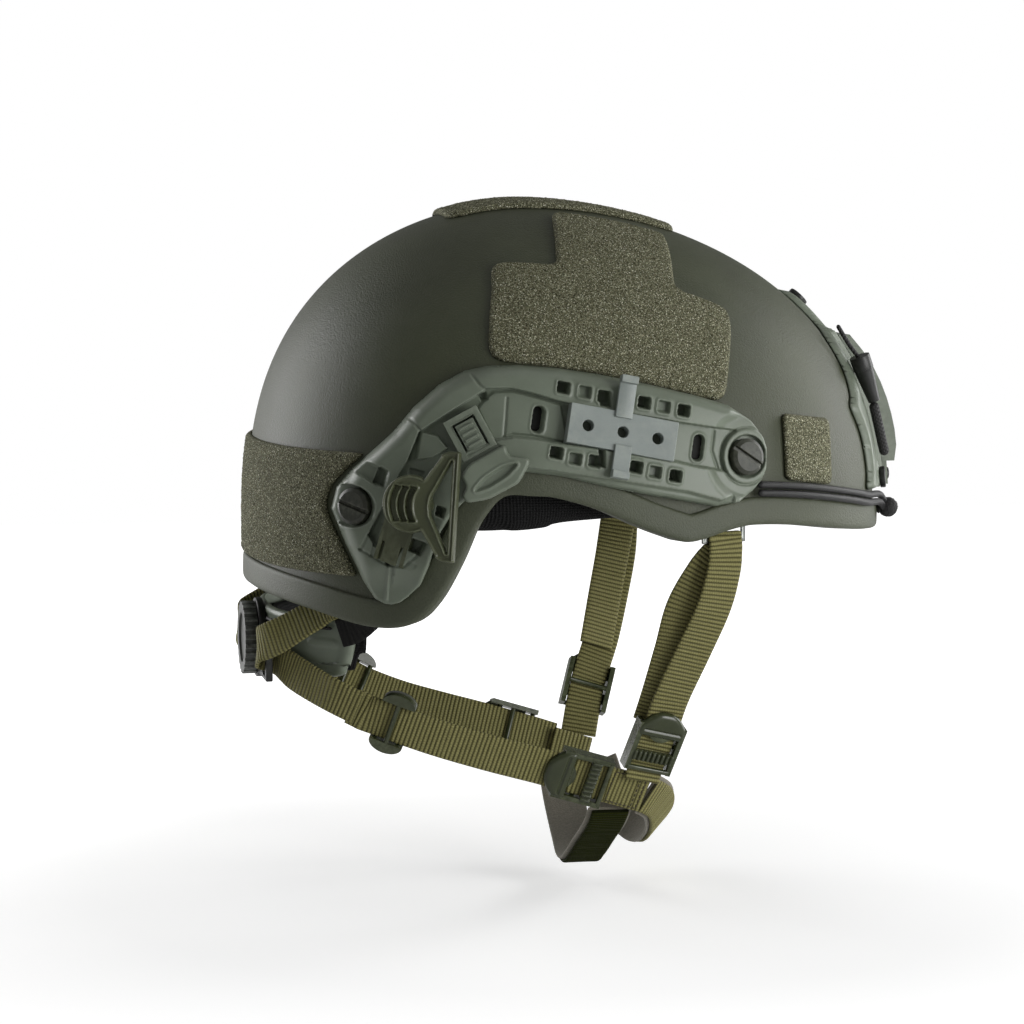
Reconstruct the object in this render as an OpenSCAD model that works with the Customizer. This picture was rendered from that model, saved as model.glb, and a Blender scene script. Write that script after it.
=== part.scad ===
// Combat helmet with side rails, front shroud, dial-fit nape cradle and chin harness.
// Millimetres. +X is the front, +Y the wearer's left, +Z up. z = 0 is the brow edge.

/* [Shell] */
// Where the shell is widest, ahead of the origin
widest_x = -18; // [-22:1:-14]
// Shell length ahead of its widest section
shell_front = 156; // [150:1:162]
// Shell length behind its widest section
shell_rear = 115; // [111:1:120]
// Half of the shell's outside width
shell_half_w = 119; // [116:1:123]
// Height of the crown above the brow edge
shell_h = 140; // [136:1:146]
// Wall of the shell
shell_wall = 8; // [7:0.5:9]
// Outward flare of the skirt below the brow edge
skirt_flare = 0.12; // [0.05:0.01:0.2]

/* [Rim] */
// Height of the rim at the nape
nape_rim_z = -21; // [-24:1:-19]
// Lowest point of the rim behind the ear
skirt_z = -29; // [-31:0.5:-27]
// Top of the ear cut
ear_z = 25.5; // [24:0.5:27]
// Rim height at the temple dip
temple_z = 5; // [4:0.5:7]
// Rim height over the brow corner
brow_z = 10.4; // [9:0.2:12]
// Reach of the edge trim up the outside
trim_h = 9.6; // [8:0.2:11]
// Reach of the edge trim up the inside
trim_in_h = 7; // [5:0.5:9]
// Thickness of the edge trim
trim_t = 1.6; // [1.2:0.1:1.8]

/* [Loop patches] */
// Thickness of a loop patch
patch_t = 2; // [1.4:0.1:2.4]
// Half width of the crown strip
crown_half_w = 22; // [18:1:25]
// Rear end of the crown strip
crown_rear_x = -51; // [-56:1:-46]
// Front end of the crown strip
crown_front_x = 48; // [44:1:52]
// Angle of a side patch's lower edge from the vertical
side_patch_low = 56; // [54:0.2:56]
// Angle of a side patch's upper edge from the vertical
side_patch_high = 34.2; // [32:0.2:37]
// Angle of the upper end of a side patch's arm
arm_high = 14.5; // [13:0.5:18]
// Height of the rear patch's upper edge
rear_patch_top = 41; // [38:1:44]
// Height of the rear patch's lower edge
rear_patch_low = -9; // [-9:0.5:-4]

/* [Rails] */
// Height of the rail's lips above the shell
lip_h = 9; // [8:0.25:9.5]
// Height of the channel floor above the shell
floor_h = 4; // [3.5:0.25:4.5]
// Size of a square window in a lip
window_s = 5.2; // [4:0.2:5.6]
// Distance between windows
window_pitch = 8.4; // [8:0.1:9.4]
// Width of a floor slot
slot_w = 4.3; // [3.4:0.1:5]
// Length of a floor slot
slot_l = 11; // [9:0.5:12]
// Radius of a rail bolt's head
bolt_head_r = 7.5; // [7.2:0.1:8.5]
// Radius of a rail bolt's shank
bolt_r = 3; // [2.5:0.1:3.2]
// Height of a rail bolt's head
bolt_head_h = 3.2; // [2.6:0.2:3.8]

/* [Accessory plate] */
// Length of the plate
plate_l = 45; // [42:1:48]
// Width of the plate
plate_w = 16; // [15:0.2:16.2]
// Thickness of the plate
plate_t = 5; // [4:0.25:5.5]
// Radius of a plate hole
hole_r = 2.3; // [2:0.1:2.6]
// Distance between plate holes
hole_pitch = 14.6; // [13:0.2:15.4]

/* [Swivel clip] */
// Radius of the clip's disc
disc_r = 11.6; // [11.5:0.1:12.8]
// Thickness of the clip
clip_t = 3.2; // [2.8:0.1:3.6]
// Half height of the clip's bar
bar_half = 22; // [21:0.2:24.6]
// Distance of the bar from the pivot
bar_x = 14.2; // [13.8:0.2:17.4]
// Radius of the pivot pin
pivot_r = 2.2; // [1.8:0.1:2.4]

/* [Shroud] */
// Thickness of the shroud plate
shroud_t = 3; // [2.4:0.2:3.6]
// Half width of the receiver block
receiver_half_w = 22; // [20:1:24]
// Radius of a shroud screw's head
screw_head_r = 4.6; // [4:0.2:5]
// Radius of a shroud screw's shank
screw_r = 2; // [1.6:0.1:2.4]

/* [Liner] */
// Thickness of the side, front and rear pads
pad_t = 20; // [16:1:21]
// Thickness of the crown pad
crown_pad_t = 18; // [14:1:20]
// Thickness of a hook disc
disc_t = 1; // [0.8:0.1:1.4]
// Radius of a hook disc
hook_disc_r = 8; // [6:0.5:9]

/* [Harness] */
// Width of the webbing
web_w = 16; // [15:0.25:16.5]
// Thickness of the webbing
web_t = 1.6; // [1.2:0.1:1.7]
// Width of a buckle's opening
buckle_gap = 17.2; // [17:0.1:18]
// Width of the chin bands' lining
lining_w = 19; // [18:0.5:20]
// Thickness of the chin bands' lining
lining_t = 1.2; // [0.8:0.1:1.4]

/* [Nape cradle] */
// Half width of the cradle
cradle_half_w = 60; // [58:0.5:61]
// Distance of the cradle's middle behind the origin
cradle_back = 125.5; // [124:0.5:126]
// How far the cradle's ends come forward
cradle_wrap = 30; // [29:0.5:32]
// Thickness of the cradle
cradle_t = 2.5; // [2:0.1:2.8]
// Thickness of the nape pad
nape_pad_t = 7; // [5:0.5:8]
// Height of the dial's axis
dial_z = -45; // [-46:0.5:-44.5]
// Radius of the dial knob
knob_r = 15.6; // [14.5:0.1:16]
// Thickness of the dial knob
knob_t = 5.6; // [4.6:0.2:6.2]
// Radius of the dial's shaft
dial_shaft_r = 3; // [2.4:0.1:3.4]

/* [Bungees] */
// Radius of a bungee strand
bungee_r = 1.5; // [1.2:0.1:1.6]
// Radius of a bungee's end ball
ball_r = 4.3; // [3.8:0.1:4.6]

/* [Hidden] */

$fn = 32;
plan_power = 2.15;
side_power = 1.865;
crown_power = 2.64;
gap = 0.3;
olive = "#5b6152";
dark_olive = "#3b4034";
rail_green = "#69705f";
loop_green = "#5f6049";
webbing = "#575436";
black = "#1c1d1c";
suede = "#5c554d";
steel = "#9a9c98";

// Rim height over x, from the nape to the brow
rim_pts = [
    [-133, nape_rim_z], [-116, nape_rim_z - 3.4], [-100, skirt_z + 0.7], [-90, skirt_z - 0.2],
    [-83, skirt_z + 1], [-77.5, skirt_z + 4], [-73, skirt_z + 9], [-69, skirt_z + 15],
    [-62.5, ear_z - 27], [-57, ear_z - 14.5], [-52, ear_z - 7], [-47.5, ear_z - 2.1],
    [-43, ear_z], [-34, ear_z - 0.3], [-24, ear_z - 1.2], [-6, ear_z - 6.5],
    [13, temple_z + 6], [24, temple_z + 2], [31, temple_z], [38, temple_z + 1],
    [48, brow_z - 1.7], [60, brow_z], [83, brow_z - 1.7], [118, 3], [138, 0]
];

// Smooth curve through points: slope at a point, then the value at x
function slope_at(p, i) = let(a = max(i - 1, 0), b = min(i + 1, len(p) - 1))
    (p[b].y - p[a].y) / (p[b].x - p[a].x);
function hermite(y0, y1, m0, m1, w, t) =
    y0 * (2 * t ^ 3 - 3 * t ^ 2 + 1) + m0 * w * (t ^ 3 - 2 * t ^ 2 + t)
    + y1 * (3 * t ^ 2 - 2 * t ^ 3) + m1 * w * (t ^ 3 - t ^ 2);
function curve_y(p, x, i = 0) =
    x <= p[0].x ? p[0].y
    : i >= len(p) - 1 ? p[len(p) - 1].y
    : x > p[i + 1].x ? curve_y(p, x, i + 1)
    : let(w = p[i + 1].x - p[i].x)
        hermite(p[i].y, p[i + 1].y, slope_at(p, i), slope_at(p, i + 1), w, (x - p[i].x) / w);
function rim_z(x) = curve_y(rim_pts, x);

// The shell's surface, grown by g all round. Its width shrinks with height by this ratio.
function height_ratio(z, g) = z < 0
    ? 1 + skirt_flare * (z / (shell_h + g)) ^ 2
    : max(1 - min(z / (shell_h + g), 1) ^ crown_power, 0) ^ (1 / side_power);
function half_l(x, g) = (x > 0 ? shell_front : shell_rear) + g;
function plan_r(a, g) = (
    (abs(cos(a)) / half_l(cos(a), g)) ^ plan_power
    + (abs(sin(a)) / (shell_half_w + g)) ^ plan_power) ^ (-1 / plan_power);
// Surface point at a plan angle and a height
function at_plan(a, z, g) = let(r = plan_r(a, g) * height_ratio(z, g))
    [widest_x + r * cos(a), r * sin(a), z];
// Point p moved level onto the surface
function onto(p, g) = at_plan(atan2(p.y, p.x - widest_x), p.z, g);
// Half width at x and z
function side_y(x, z, g) = let(
    far = (abs(x - widest_x) / half_l(x - widest_x, g)) ^ plan_power,
    r = height_ratio(z, g) ^ plan_power)
    (shell_half_w + g) * max(r - far, 0) ^ (1 / plan_power);
// Front surface at y and z
function front_x(y, z, g) = let(r = height_ratio(z, g) ^ plan_power)
    widest_x + (shell_front + g) * max(r - (abs(y) / (shell_half_w + g)) ^ plan_power, 0) ^ (1 / plan_power);
// Top surface at x and y
function top_z(x, y, g) = let(
    u = (abs(x - widest_x) / half_l(x - widest_x, g)) ^ plan_power,
    v = (abs(y) / (shell_half_w + g)) ^ plan_power)
    (shell_h + g) * max(1 - (u + v) ^ (side_power / plan_power), 0) ^ (1 / crown_power);
// Right-hand surface point at x and an angle from the vertical, found by halving
function reach(x, t, g, lo = 0, hi = 200, n = 20) = n == 0 ? lo
    : let(m = (lo + hi) / 2, inside = m * cos(t) < top_z(x, m * sin(t), g))
        reach(x, t, g, inside ? m : lo, inside ? hi : m, n - 1);
function at_tilt(x, t, g) = let(r = reach(x, t, g)) [x, -r * sin(t), r * cos(t)];
// Outward normals on the right-hand side and on the front
function unit(v) = v / norm(v);
function side_pt(x, z, g) = [x, -side_y(x, z, g), z];
function side_normal(x, z, g = 0) = unit(cross(
    side_pt(x + 1, z, g) - side_pt(x - 1, z, g), side_pt(x, z + 1, g) - side_pt(x, z - 1, g)));
function front_pt(y, z, g) = [front_x(y, z, g), y, z];
function front_normal(y, z) = unit(cross(
    front_pt(y + 1, z, 0) - front_pt(y - 1, z, 0), front_pt(y, z + 1, 0) - front_pt(y, z - 1, 0)));

// Triangles are turned to face outwards by the sign of the volume they enclose
function tri_volume(p, f) = p[f[0]] * cross(p[f[1]], p[f[2]]);
function volume_of(p, faces, i = 0, v = 0) = i == len(faces) ? v
    : volume_of(p, faces, i + 1, v + tri_volume(p, faces[i]));
function outward(p, faces) = volume_of(p, faces) < 0 ? faces : [for (f = faces) [f[2], f[1], f[0]]];
function quad(a, b, c, d) = [[a, b, c], [a, c, d]];
module solid(p, faces) {
    polyhedron(p, outward(p, faces));
}

// A solid between two open grids of the same size, closed along all four edges
module sheet(outer, inner) {
    rows = len(outer);
    cols = len(outer[0]);
    n = rows * cols;
    p = concat([for (r = outer) for (q = r) q], [for (r = inner) for (q = r) q]);
    f = concat(
        [for (i = [0:rows - 2]) for (j = [0:cols - 2]) let(k = i * cols + j)
            each quad(k, k + 1, k + cols + 1, k + cols)],
        [for (i = [0:rows - 2]) for (j = [0:cols - 2]) let(k = n + i * cols + j)
            each quad(k, k + cols, k + cols + 1, k + 1)],
        [for (i = [0:rows - 2]) let(k = i * cols) each quad(k, k + cols, k + cols + n, k + n)],
        [for (i = [0:rows - 2]) let(k = i * cols + cols - 1) each quad(k + cols, k, k + n, k + cols + n)],
        [for (j = [0:cols - 2]) each quad(j + 1, j, j + n, j + 1 + n)],
        [for (j = [0:cols - 2]) let(k = (rows - 1) * cols + j) each quad(k, k + 1, k + 1 + n, k + n)]);
    solid(p, f);
}

// A skin over rings of equal length, closed by a point at each end or joined end to start
module skin(rings, poles = [], looped = false) {
    m = len(rings);
    n = len(rings[0]);
    p = concat([for (r = rings) for (q = r) q], poles);
    f = concat(
        [for (i = [0:m - (looped ? 1 : 2)]) for (j = [0:n - 1])
            let(a = i * n, b = ((i + 1) % m) * n, k = (j + 1) % n)
            each quad(a + j, a + k, b + k, b + j)],
        looped ? [] : [for (j = [0:n - 1]) [m * n, (j + 1) % n, j]],
        looped ? [] : [for (j = [0:n - 1]) let(a = (m - 1) * n) [m * n + 1, a + j, a + (j + 1) % n]]);
    solid(p, f);
}

// Smooth path through hand-chosen points, with extra steps between them
function mix(a, b, t) = a + (b - a) * t;
function pass(a, b, c, d, t) = 0.5 * (2 * b + (c - a) * t + (2 * a - 5 * b + 4 * c - d) * t ^ 2
    + (3 * b - a - 3 * c + d) * t ^ 3);
function smooth(p, steps) = let(n = len(p) - 1) concat(
    [for (i = [0:n - 1]) for (k = [0:steps - 1])
        pass(p[max(i - 1, 0)], p[i], p[i + 1], p[min(i + 2, n)], k / steps)], [p[n]]);
function heading(p, i) = unit(p[min(i + 1, len(p) - 1)] - p[max(i - 1, 0)]);

// Flat webbing along a path: each point is [x, y, z] and each face is the way its front looks
module ribbon(pts, looks, w, t, lift = 0, steps = 2) {
    p = smooth(pts, steps);
    face = smooth(looks, steps);
    across = [for (i = [0:len(p) - 1]) unit(cross(heading(p, i), face[i]))];
    out = [for (i = [0:len(p) - 1]) unit(cross(across[i], heading(p, i)))];
    sheet(
        [for (i = [0:len(p) - 1]) [for (s = [-1, 1]) p[i] + across[i] * s * w / 2 + out[i] * (lift + t / 2)]],
        [for (i = [0:len(p) - 1]) [for (s = [-1, 1]) p[i] + across[i] * s * w / 2 + out[i] * (lift - t / 2)]]);
}

// Round cord along a path
module cord(pts, r, sides = 8, steps = 2) {
    p = smooth(pts, steps);
    m = len(p) - 1;
    rings = [for (i = [0:m]) let(d = heading(p, i), a = unit(cross(d, [0.1, 0.2, 1])), b = cross(d, a))
        [for (k = [0:sides - 1]) p[i] + r * (cos(360 * k / sides) * a + sin(360 * k / sides) * b)]];
    skin(rings, [p[0], p[m]]);
}

// Children are placed with their z axis along n and their x axis near x_near
module aim(p, n, x_near) {
    k = unit(n);
    i = unit(x_near - k * (x_near * k));
    j = cross(k, i);
    multmatrix([[i.x, j.x, k.x, p.x], [i.y, j.y, k.y, p.y], [i.z, j.z, k.z, p.z]]) children();
}
// Base at height g of the place that stands at x and z where it reaches the height seen
function side_base(x, z, g, seen) = side_pt(x, z, seen) - side_normal(x, z, seen) * (seen - g);
module on_side(x, z, g, roll = 0, seen = 9) {
    aim(side_base(x, z, g, seen), side_normal(x, z, seen), [cos(roll), 0, sin(roll)]) children();
}
module on_front(y, z) {
    aim(front_pt(y, z, 0), front_normal(y, z), [0, 1, 0]) children();
}
module both_sides() {
    children();
    mirror([0, 1, 0]) children();
}
module left() {
    mirror([0, 1, 0]) children();
}

// Shell
half_turn = concat([for (a = [0:6:90]) a], [for (a = [95:2.5:135]) a], [for (a = [140:8:172]) a], [180]);
last_step = len(half_turn) - 1;
around = concat(half_turn, [for (i = [last_step - 1:-1:1]) 360 - half_turn[i]]);
dome_steps = 11;
pole_angle = 87;
function settle(a, z, n = 5) = n == 0 ? z : settle(a, rim_z(at_plan(a, z, 0).x) + trim_t + gap, n - 1);
function rim_pt(a, g = 0) = at_plan(a, settle(a, 0), g);
function dome_ring(j, g) = [for (a = around) let(z0 = settle(a, 0))
    at_plan(a, z0 + (shell_h + g - z0) * sin(pole_angle * j / dome_steps) ^ (2 / crown_power), g)];
rail_bolt_at = [[57.1, 39.2, -30], [-103.4, 20.3, -14]];
bolt_seen = 8;
module at_bolts() {
    for (b = rail_bolt_at) on_side(b.x, b.y, 0, b.z, bolt_seen) children();
}
module bolt_bores(r) {
    both_sides() at_bolts() translate([0, 0, -shell_wall - 4]) cylinder(r = r, h = shell_wall + 12);
}

module shell() {
    color(olive) difference() {
        skin(concat(
            [for (j = [dome_steps:-1:0]) dome_ring(j, 0)],
            [for (j = [0:dome_steps]) dome_ring(j, -shell_wall)]),
            [[widest_x, 0, shell_h], [widest_x, 0, shell_h - shell_wall]]);
        bolt_bores(bolt_r + 0.15);
        shroud_bores(screw_r + 0.15);
    }
}

// Edge trim: a channel section carried round the rim
trim_fit = 0.2;
trim_in_fit = 0.7;
trim_lip = 1.2;
module edge_trim() {
    n = len(around);
    rim = [for (a = around) rim_pt(a)];
    section = [
        [-trim_t - gap, trim_t + trim_fit], [trim_h * 0.45, trim_t + trim_fit], [trim_h, trim_t + trim_fit],
        [trim_h, trim_fit], [trim_h * 0.45, trim_fit], [-gap, trim_fit],
        [-gap, -shell_wall - trim_in_fit], [trim_in_h, -shell_wall - trim_in_fit],
        [trim_in_h, -shell_wall - trim_in_fit - trim_lip], [-trim_t - gap, -shell_wall - trim_in_fit - trim_lip]
    ];
    color(dark_olive) skin([for (i = [0:n - 1]) let(
            out = unit([cos(around[i]) / shell_front, sin(around[i]) / shell_half_w, 0]),
            along = unit(rim[(i + 1) % n] - rim[(i + n - 1) % n]),
            up = unit(cross(out, along)))
        [for (s = section) onto(rim[i] + up * s.x, s.y)]], looped = true);
}

// Loop patches
patch_g = 0.45;
module crown_patch() {
    steps_x = 8;
    steps_y = 5;
    function row(g) = [for (i = [0:steps_x]) let(x = mix(crown_rear_x, crown_front_x, i / steps_x))
        [for (j = [0:steps_y]) let(y = mix(-crown_half_w, crown_half_w, j / steps_y)) [x, y, top_z(x, y, g)]]];
    color(loop_green) sheet(row(patch_g + patch_t), row(patch_g));
}

// Rows of a side patch: angle from the vertical, then the two ends along x
side_patch_skew = 0.074;
side_rows = [
    [side_patch_low, -44, 46], [side_patch_low - 2, -48, 50], [side_patch_low - 9, -46, 53],
    [side_patch_high + 6, -43, 56], [side_patch_high + 1.5, -42, 57], [side_patch_high, -39, 54],
    [side_patch_high - 0.05, -15, 34], [29.5, -13.5, 35.2], [25, -12, 36.5], [20.5, -10.6, 37.6],
    [arm_high + 1, -9, 38.5], [arm_high, -7, 36]
];
module side_patch() {
    cols = 10;
    function grid(g) = [for (r = side_rows) [for (j = [0:cols]) let(x = mix(r[1], r[2], j / cols))
        at_tilt(x, r[0] + side_patch_skew * x, g)]];
    color(loop_green) sheet(grid(patch_g + patch_t), grid(patch_g));
}

// Ends of the rear patch over height, just behind the rails
rear_patch_ends = [[-10, -101.5], [4, -108], [18, -113], [27, -111], [35, -105], [42, -97.5]];
module rear_patch() {
    rows = 6;
    cols = 18;
    function grid(g) = [for (i = [0:rows]) let(
            z = mix(rear_patch_low, rear_patch_top, i / rows),
            x = curve_y(rear_patch_ends, z),
            a = atan2(side_y(x, z, 0), x - widest_x))
        [for (j = [0:cols]) at_plan(mix(a, 360 - a, j / cols), z, g)]];
    color(loop_green) sheet(grid(patch_g + patch_t), grid(patch_g));
}

front_patch_corners = [[76, 55], [100.8, 51.2], [100.4, 24], [76.2, 28]];
module front_patch() {
    c = front_patch_corners;
    cols = 3;
    function grid(g) = [for (i = [0:cols]) [for (j = [0:cols])
        let(q = mix(mix(c[3], c[0], j / cols), mix(c[2], c[1], j / cols), i / cols)) side_pt(q.x, q.y, g)]];
    color(loop_green) sheet(grid(patch_g + patch_t), grid(patch_g));
}

// Rail: upper edge and lower edge as paired points [x, z], from the front bolt to the rear tip
rail_upper = [
    [66, 42], [64, 48], [59.5, 53.5], [50, 59.5], [37, 63.5], [15.5, 68.7], [-5, 73], [-21, 75.5],
    [-37, 76.8], [-49, 76.5], [-58, 74.5], [-68, 69], [-78, 60], [-86, 50], [-94, 42], [-101, 35],
    [-107, 27], [-109, 18], [-104, 4], [-98, -10], [-94, -17]
];
rail_lower = [
    [65.5, 34], [64, 29.5], [60, 25.5], [52.5, 20.6], [42, 19.3], [14, 24.8], [-7, 29.4], [-22, 33.2],
    [-36, 35], [-45, 33.5], [-53, 30], [-60, 24.5], [-66, 18], [-70, 11], [-72.5, 4], [-74.5, -3],
    [-77.5, -10.5], [-82, -15.5], [-85, -18], [-88, -19], [-90.5, -18.8]
];
channel_low = 0.31;
channel_high = 0.71;
rail_edge_h = 2.5;
wall_slope = 0.01;
// Rail height above the shell over the width, from the lower edge to the upper edge
function rail_section(e) = [
    [0, mix(rail_edge_h, 4, e)], [0.04, mix(rail_edge_h + 0.5, lip_h - 1.5, e)],
    [0.1, mix(4, lip_h, e)], [channel_low - wall_slope, mix(5, lip_h, e)],
    [channel_low + wall_slope, mix(5, floor_h, e)], [0.5, mix(5, floor_h, e)],
    [channel_high - wall_slope, mix(5, floor_h, e)], [channel_high + wall_slope, mix(5, lip_h - 0.8, e)],
    [0.88, mix(4, lip_h - 1.4, e)], [0.97, mix(rail_edge_h + 0.5, 4.5, e)], [1, rail_edge_h]
];
rail_cols = 10;
rail_ends = [0, 0, 0.35, 0.9];
function rail_end(i) = let(k = min(i, len(rail_upper) - 1 - i)) k < len(rail_ends) ? rail_ends[k] : 1;
// The rail's back steps out where it lies over the edge trim
function near_rim(x, z) = min([for (p = rim_pts) norm([x, z] - p)]) < trim_h + 5;
function rail_back(x, z) = near_rim(x, z) ? trim_fit + trim_t + gap : rail_fit;

rail_fit = 0.4;
window_rows = [[3.6, 63.4], [-1.2, 37.9]];
rail_slope = -11;
slot_at = [[-32, 56], [34.5, 43]];

module rail() {
    n = len(rail_upper) - 1;
    outer = [for (i = [0:n]) [for (s = rail_section(rail_end(i)))
        let(q = mix(rail_lower[i], rail_upper[i], s[0])) side_pt(q.x, q.y, max(s[1], rail_back(q.x, q.y)))]];
    inner = [for (i = [0:n]) [for (j = [0:rail_cols])
        let(q = mix(rail_lower[i], rail_upper[i], j / rail_cols)) side_pt(q.x, q.y, rail_back(q.x, q.y))]];
    deep = lip_h + 6;
    color(rail_green) difference() {
        sheet(outer, inner);
        for (row = window_rows) for (k = [-3:3]) if (k != 0)
            on_side(row.x + k * window_pitch * cos(rail_slope), row.y + k * window_pitch * sin(rail_slope),
                0, rail_slope, lip_h)
                translate([-window_s / 2, -window_s / 2, abs(k) == 2 ? floor_h + 1 : -1])
                    cube([window_s, window_s, deep]);
        for (s = slot_at) on_side(s.x, s.y, -1, rail_slope, floor_h) {
            translate([-slot_w / 2, -(slot_l - slot_w) / 2, 0]) cube([slot_w, slot_l - slot_w, deep]);
            for (e = [-1, 1]) translate([0, e * (slot_l - slot_w) / 2, 0]) cylinder(d = slot_w, h = deep);
        }
        at_bolts() {
            translate([0, 0, -2]) cylinder(r = bolt_r + 0.15, h = deep);
            translate([0, 0, bolt_seat]) cylinder(r = bolt_head_r + 0.6, h = deep);
        }
        at_pivot(floor_h + 1.7) cylinder(r = post_r + gap, h = deep);
        at_insert() translate([-insert_w / 2 - gap, -insert_l / 2 - gap, -insert_leg - gap])
            cube([insert_w + 2 * gap, insert_l + 2 * gap, deep]);
        at_carriage() translate([-carriage_l / 2 - gap, -carriage_w / 2 - gap, -gap])
            cube([carriage_l + 2 * gap, carriage_w + 2 * gap, deep]);
        at_plate() plate_holes(hole_r + 0.4, -hole_depth, deep);
    }
}

// Bolts and nuts
bolt_seat = 3.6;
nut_t = 2.6;
nut_r = 6;
bracket_t = 1.2;
bracket_depth = shell_wall + 2.3;
nut_depth = bracket_depth + bracket_t + 1.1;
head_slot = 1.6;
module rail_bolts() {
    color(dark_olive) both_sides() at_bolts() difference() {
        union() {
            translate([0, 0, bolt_seat + 0.1]) cylinder(r = bolt_head_r, h = bolt_head_h);
            translate([0, 0, bolt_seat + 0.1 + bolt_head_h])
                cylinder(r1 = bolt_head_r, r2 = bolt_head_r - 1.6, h = 0.9);
            translate([0, 0, -nut_depth - nut_t - 0.4])
                cylinder(r = bolt_r, h = nut_depth + nut_t + bolt_seat + 1);
        }
        translate([-bolt_head_r - 1, -head_slot / 2, bolt_seat + bolt_head_h - 0.8])
            cube([2 * bolt_head_r + 2, head_slot, 4]);
    }
}
module rail_nuts() {
    color(steel) both_sides() at_bolts() translate([0, 0, -nut_depth - nut_t]) difference() {
        cylinder(r = nut_r, h = nut_t);
        translate([0, 0, -1]) cylinder(r = bolt_r + 0.1, h = nut_t + 2);
    }
}

// Accessory plate in the rail's channel, with a curled tab above and below. Its holes go on into the floor.
hole_depth = 2.4;
plate_at = [2, 50.9];
plate_g = floor_h + 0.6;
tab_w = 7;
tab_t = 2;
tab_root = 2.5;
tab_lift = 0.7;
tab_curl = 3;
upper_tab = 14.5;
lower_tab = 11;
module plate_tab(reach) {
    translate([-tab_w / 2, plate_w / 2 - tab_root, plate_t - tab_lift]) {
        cube([tab_w, reach + tab_root, tab_t]);
        translate([0, reach + tab_root - tab_curl, 0]) cube([tab_w, tab_curl, tab_t + 2]);
    }
}
module at_plate() {
    on_side(plate_at.x, plate_at.y, plate_g, rail_slope, plate_g + plate_t) children();
}
module plate_holes(r, from, h) {
    for (k = [-1:1]) translate([k * hole_pitch, 0, from]) cylinder(r = r, h = h);
}
module accessory_plate() {
    color("#88918d") at_plate() difference() {
        union() {
            translate([-plate_l / 2, -plate_w / 2, 0]) cube([plate_l, plate_w, plate_t]);
            translate([-0.8, 0, 0]) plate_tab(upper_tab);
            translate([0.8, 0, 0]) rotate([0, 0, 180]) plate_tab(lower_tab);
        }
        plate_holes(hole_r, -1, plate_t + 3);
    }
}

// Latch insert with a sprung tongue cut out of it
insert_at = [-58.9, 50.6];
insert_roll = 26;
insert_w = 15;
insert_l = 18;
insert_t = 2.4;
tongue_w = 8;
tongue_l = 12;
tongue_gap = 0.9;
insert_g = floor_h + 2.2;
insert_leg = 1.7;
tongue_root = -6.5;
module at_insert() {
    on_side(insert_at.x, insert_at.y, insert_g, insert_roll, insert_g + insert_t) children();
}
module latch_insert() {
    color(rail_green) at_insert() difference() {
        union() {
            translate([-insert_w / 2, -insert_l / 2, 0]) cube([insert_w, insert_l, insert_t]);
            for (s = [-1, 1]) translate([s * (insert_w / 2 - 1) - 1, -insert_l / 2, -insert_leg])
                cube([2, insert_l, insert_leg + 0.1]);
        }
        translate([-tongue_w / 2 - tongue_gap, tongue_root - tongue_gap, -3])
            cube([tongue_w + 2 * tongue_gap, tongue_l + 2 * tongue_gap, insert_t + 6]);
    }
}
module latch_tongue() {
    color(rail_green) at_insert()
        translate([-tongue_w / 2, tongue_root, 0.4]) {
            cube([tongue_w, tongue_l, insert_t - 0.8]);
            for (k = [0:3]) translate([1, 1.5 + 2.6 * k, insert_t - 0.9]) cube([tongue_w - 2, 1, 0.9]);
        }
}

// Carriage in the rear leg's channel, with the pivot pin of the swivel clip
carriage_at = [-86.4, 13.8];
carriage_roll = 70;
carriage_l = 32;
carriage_w = 13;
carriage_t = 4.6;
carriage_g = floor_h + 0.5;
pivot_at = [-80.3, 23];
clip_g = 12.6;
clip_roll = -4;
pin_into = 2;
post_r = pivot_r + 2.4;
module at_carriage() {
    on_side(carriage_at.x, carriage_at.y, carriage_g, carriage_roll, carriage_g + carriage_t) children();
}
module at_pivot(g) {
    on_side(pivot_at.x, pivot_at.y, g, clip_roll, clip_g + clip_t) children();
}
module clip_carriage() {
    post_foot = floor_h + 2;
    color(dark_olive) {
        at_carriage() difference() {
            translate([-carriage_l / 2, -carriage_w / 2, 0]) cube([carriage_l, carriage_w, carriage_t]);
            for (s = [-1, 1]) translate([-carriage_l / 2 - 1, s * 4.2 - 0.7, 2.6]) cube([9, 1.4, 4]);
        }
        at_pivot(post_foot) {
            cylinder(r = post_r, h = clip_g - post_foot - gap);
            cylinder(r = pivot_r, h = clip_g - post_foot + pin_into);
        }
    }
}

// Swivel clip: slotted disc, waist and a triangular loop
disc_back = 3.7;
bar_w = 3;
module clip_loop() {
    for (s = [-1, 1]) polygon([
        [-1, 0], [-1, 9 * s], [0.8, 9.4 * s], [bar_x - 6.4, (bar_half - 1.4) * s], [bar_x - 3.4, bar_half * s],
        [bar_x + bar_w / 2, bar_half * s], [bar_x + bar_w / 2, 0]]);
}
module clip_openings() {
    polygon([
        [4.4, 0], [4.9, 3.6], [bar_x - bar_w / 2, bar_half - 3.4],
        [bar_x - bar_w / 2, -bar_half + 3.4], [4.9, -3.6]]);
    for (x = [-12.2, -9, -5.6]) intersection() {
        translate([x + 14, 0]) difference() {
            circle(r = 14, $fn = 64);
            translate([0.4, 0]) circle(r = 12.1, $fn = 64);
        }
        translate([x - 1, -8]) square([6, 16]);
    }
}
module swivel_clip() {
    color(dark_olive) at_pivot(clip_g) difference() {
        union() {
            translate([-disc_back, 0, 0]) cylinder(r = disc_r, h = clip_t);
            linear_extrude(height = clip_t) clip_loop();
        }
        translate([0, 0, -1]) linear_extrude(height = clip_t + 2) clip_openings();
        translate([0, 0, -1]) cylinder(r = pivot_r + 0.08, h = pin_into + 1.3);
    }
}

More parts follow.
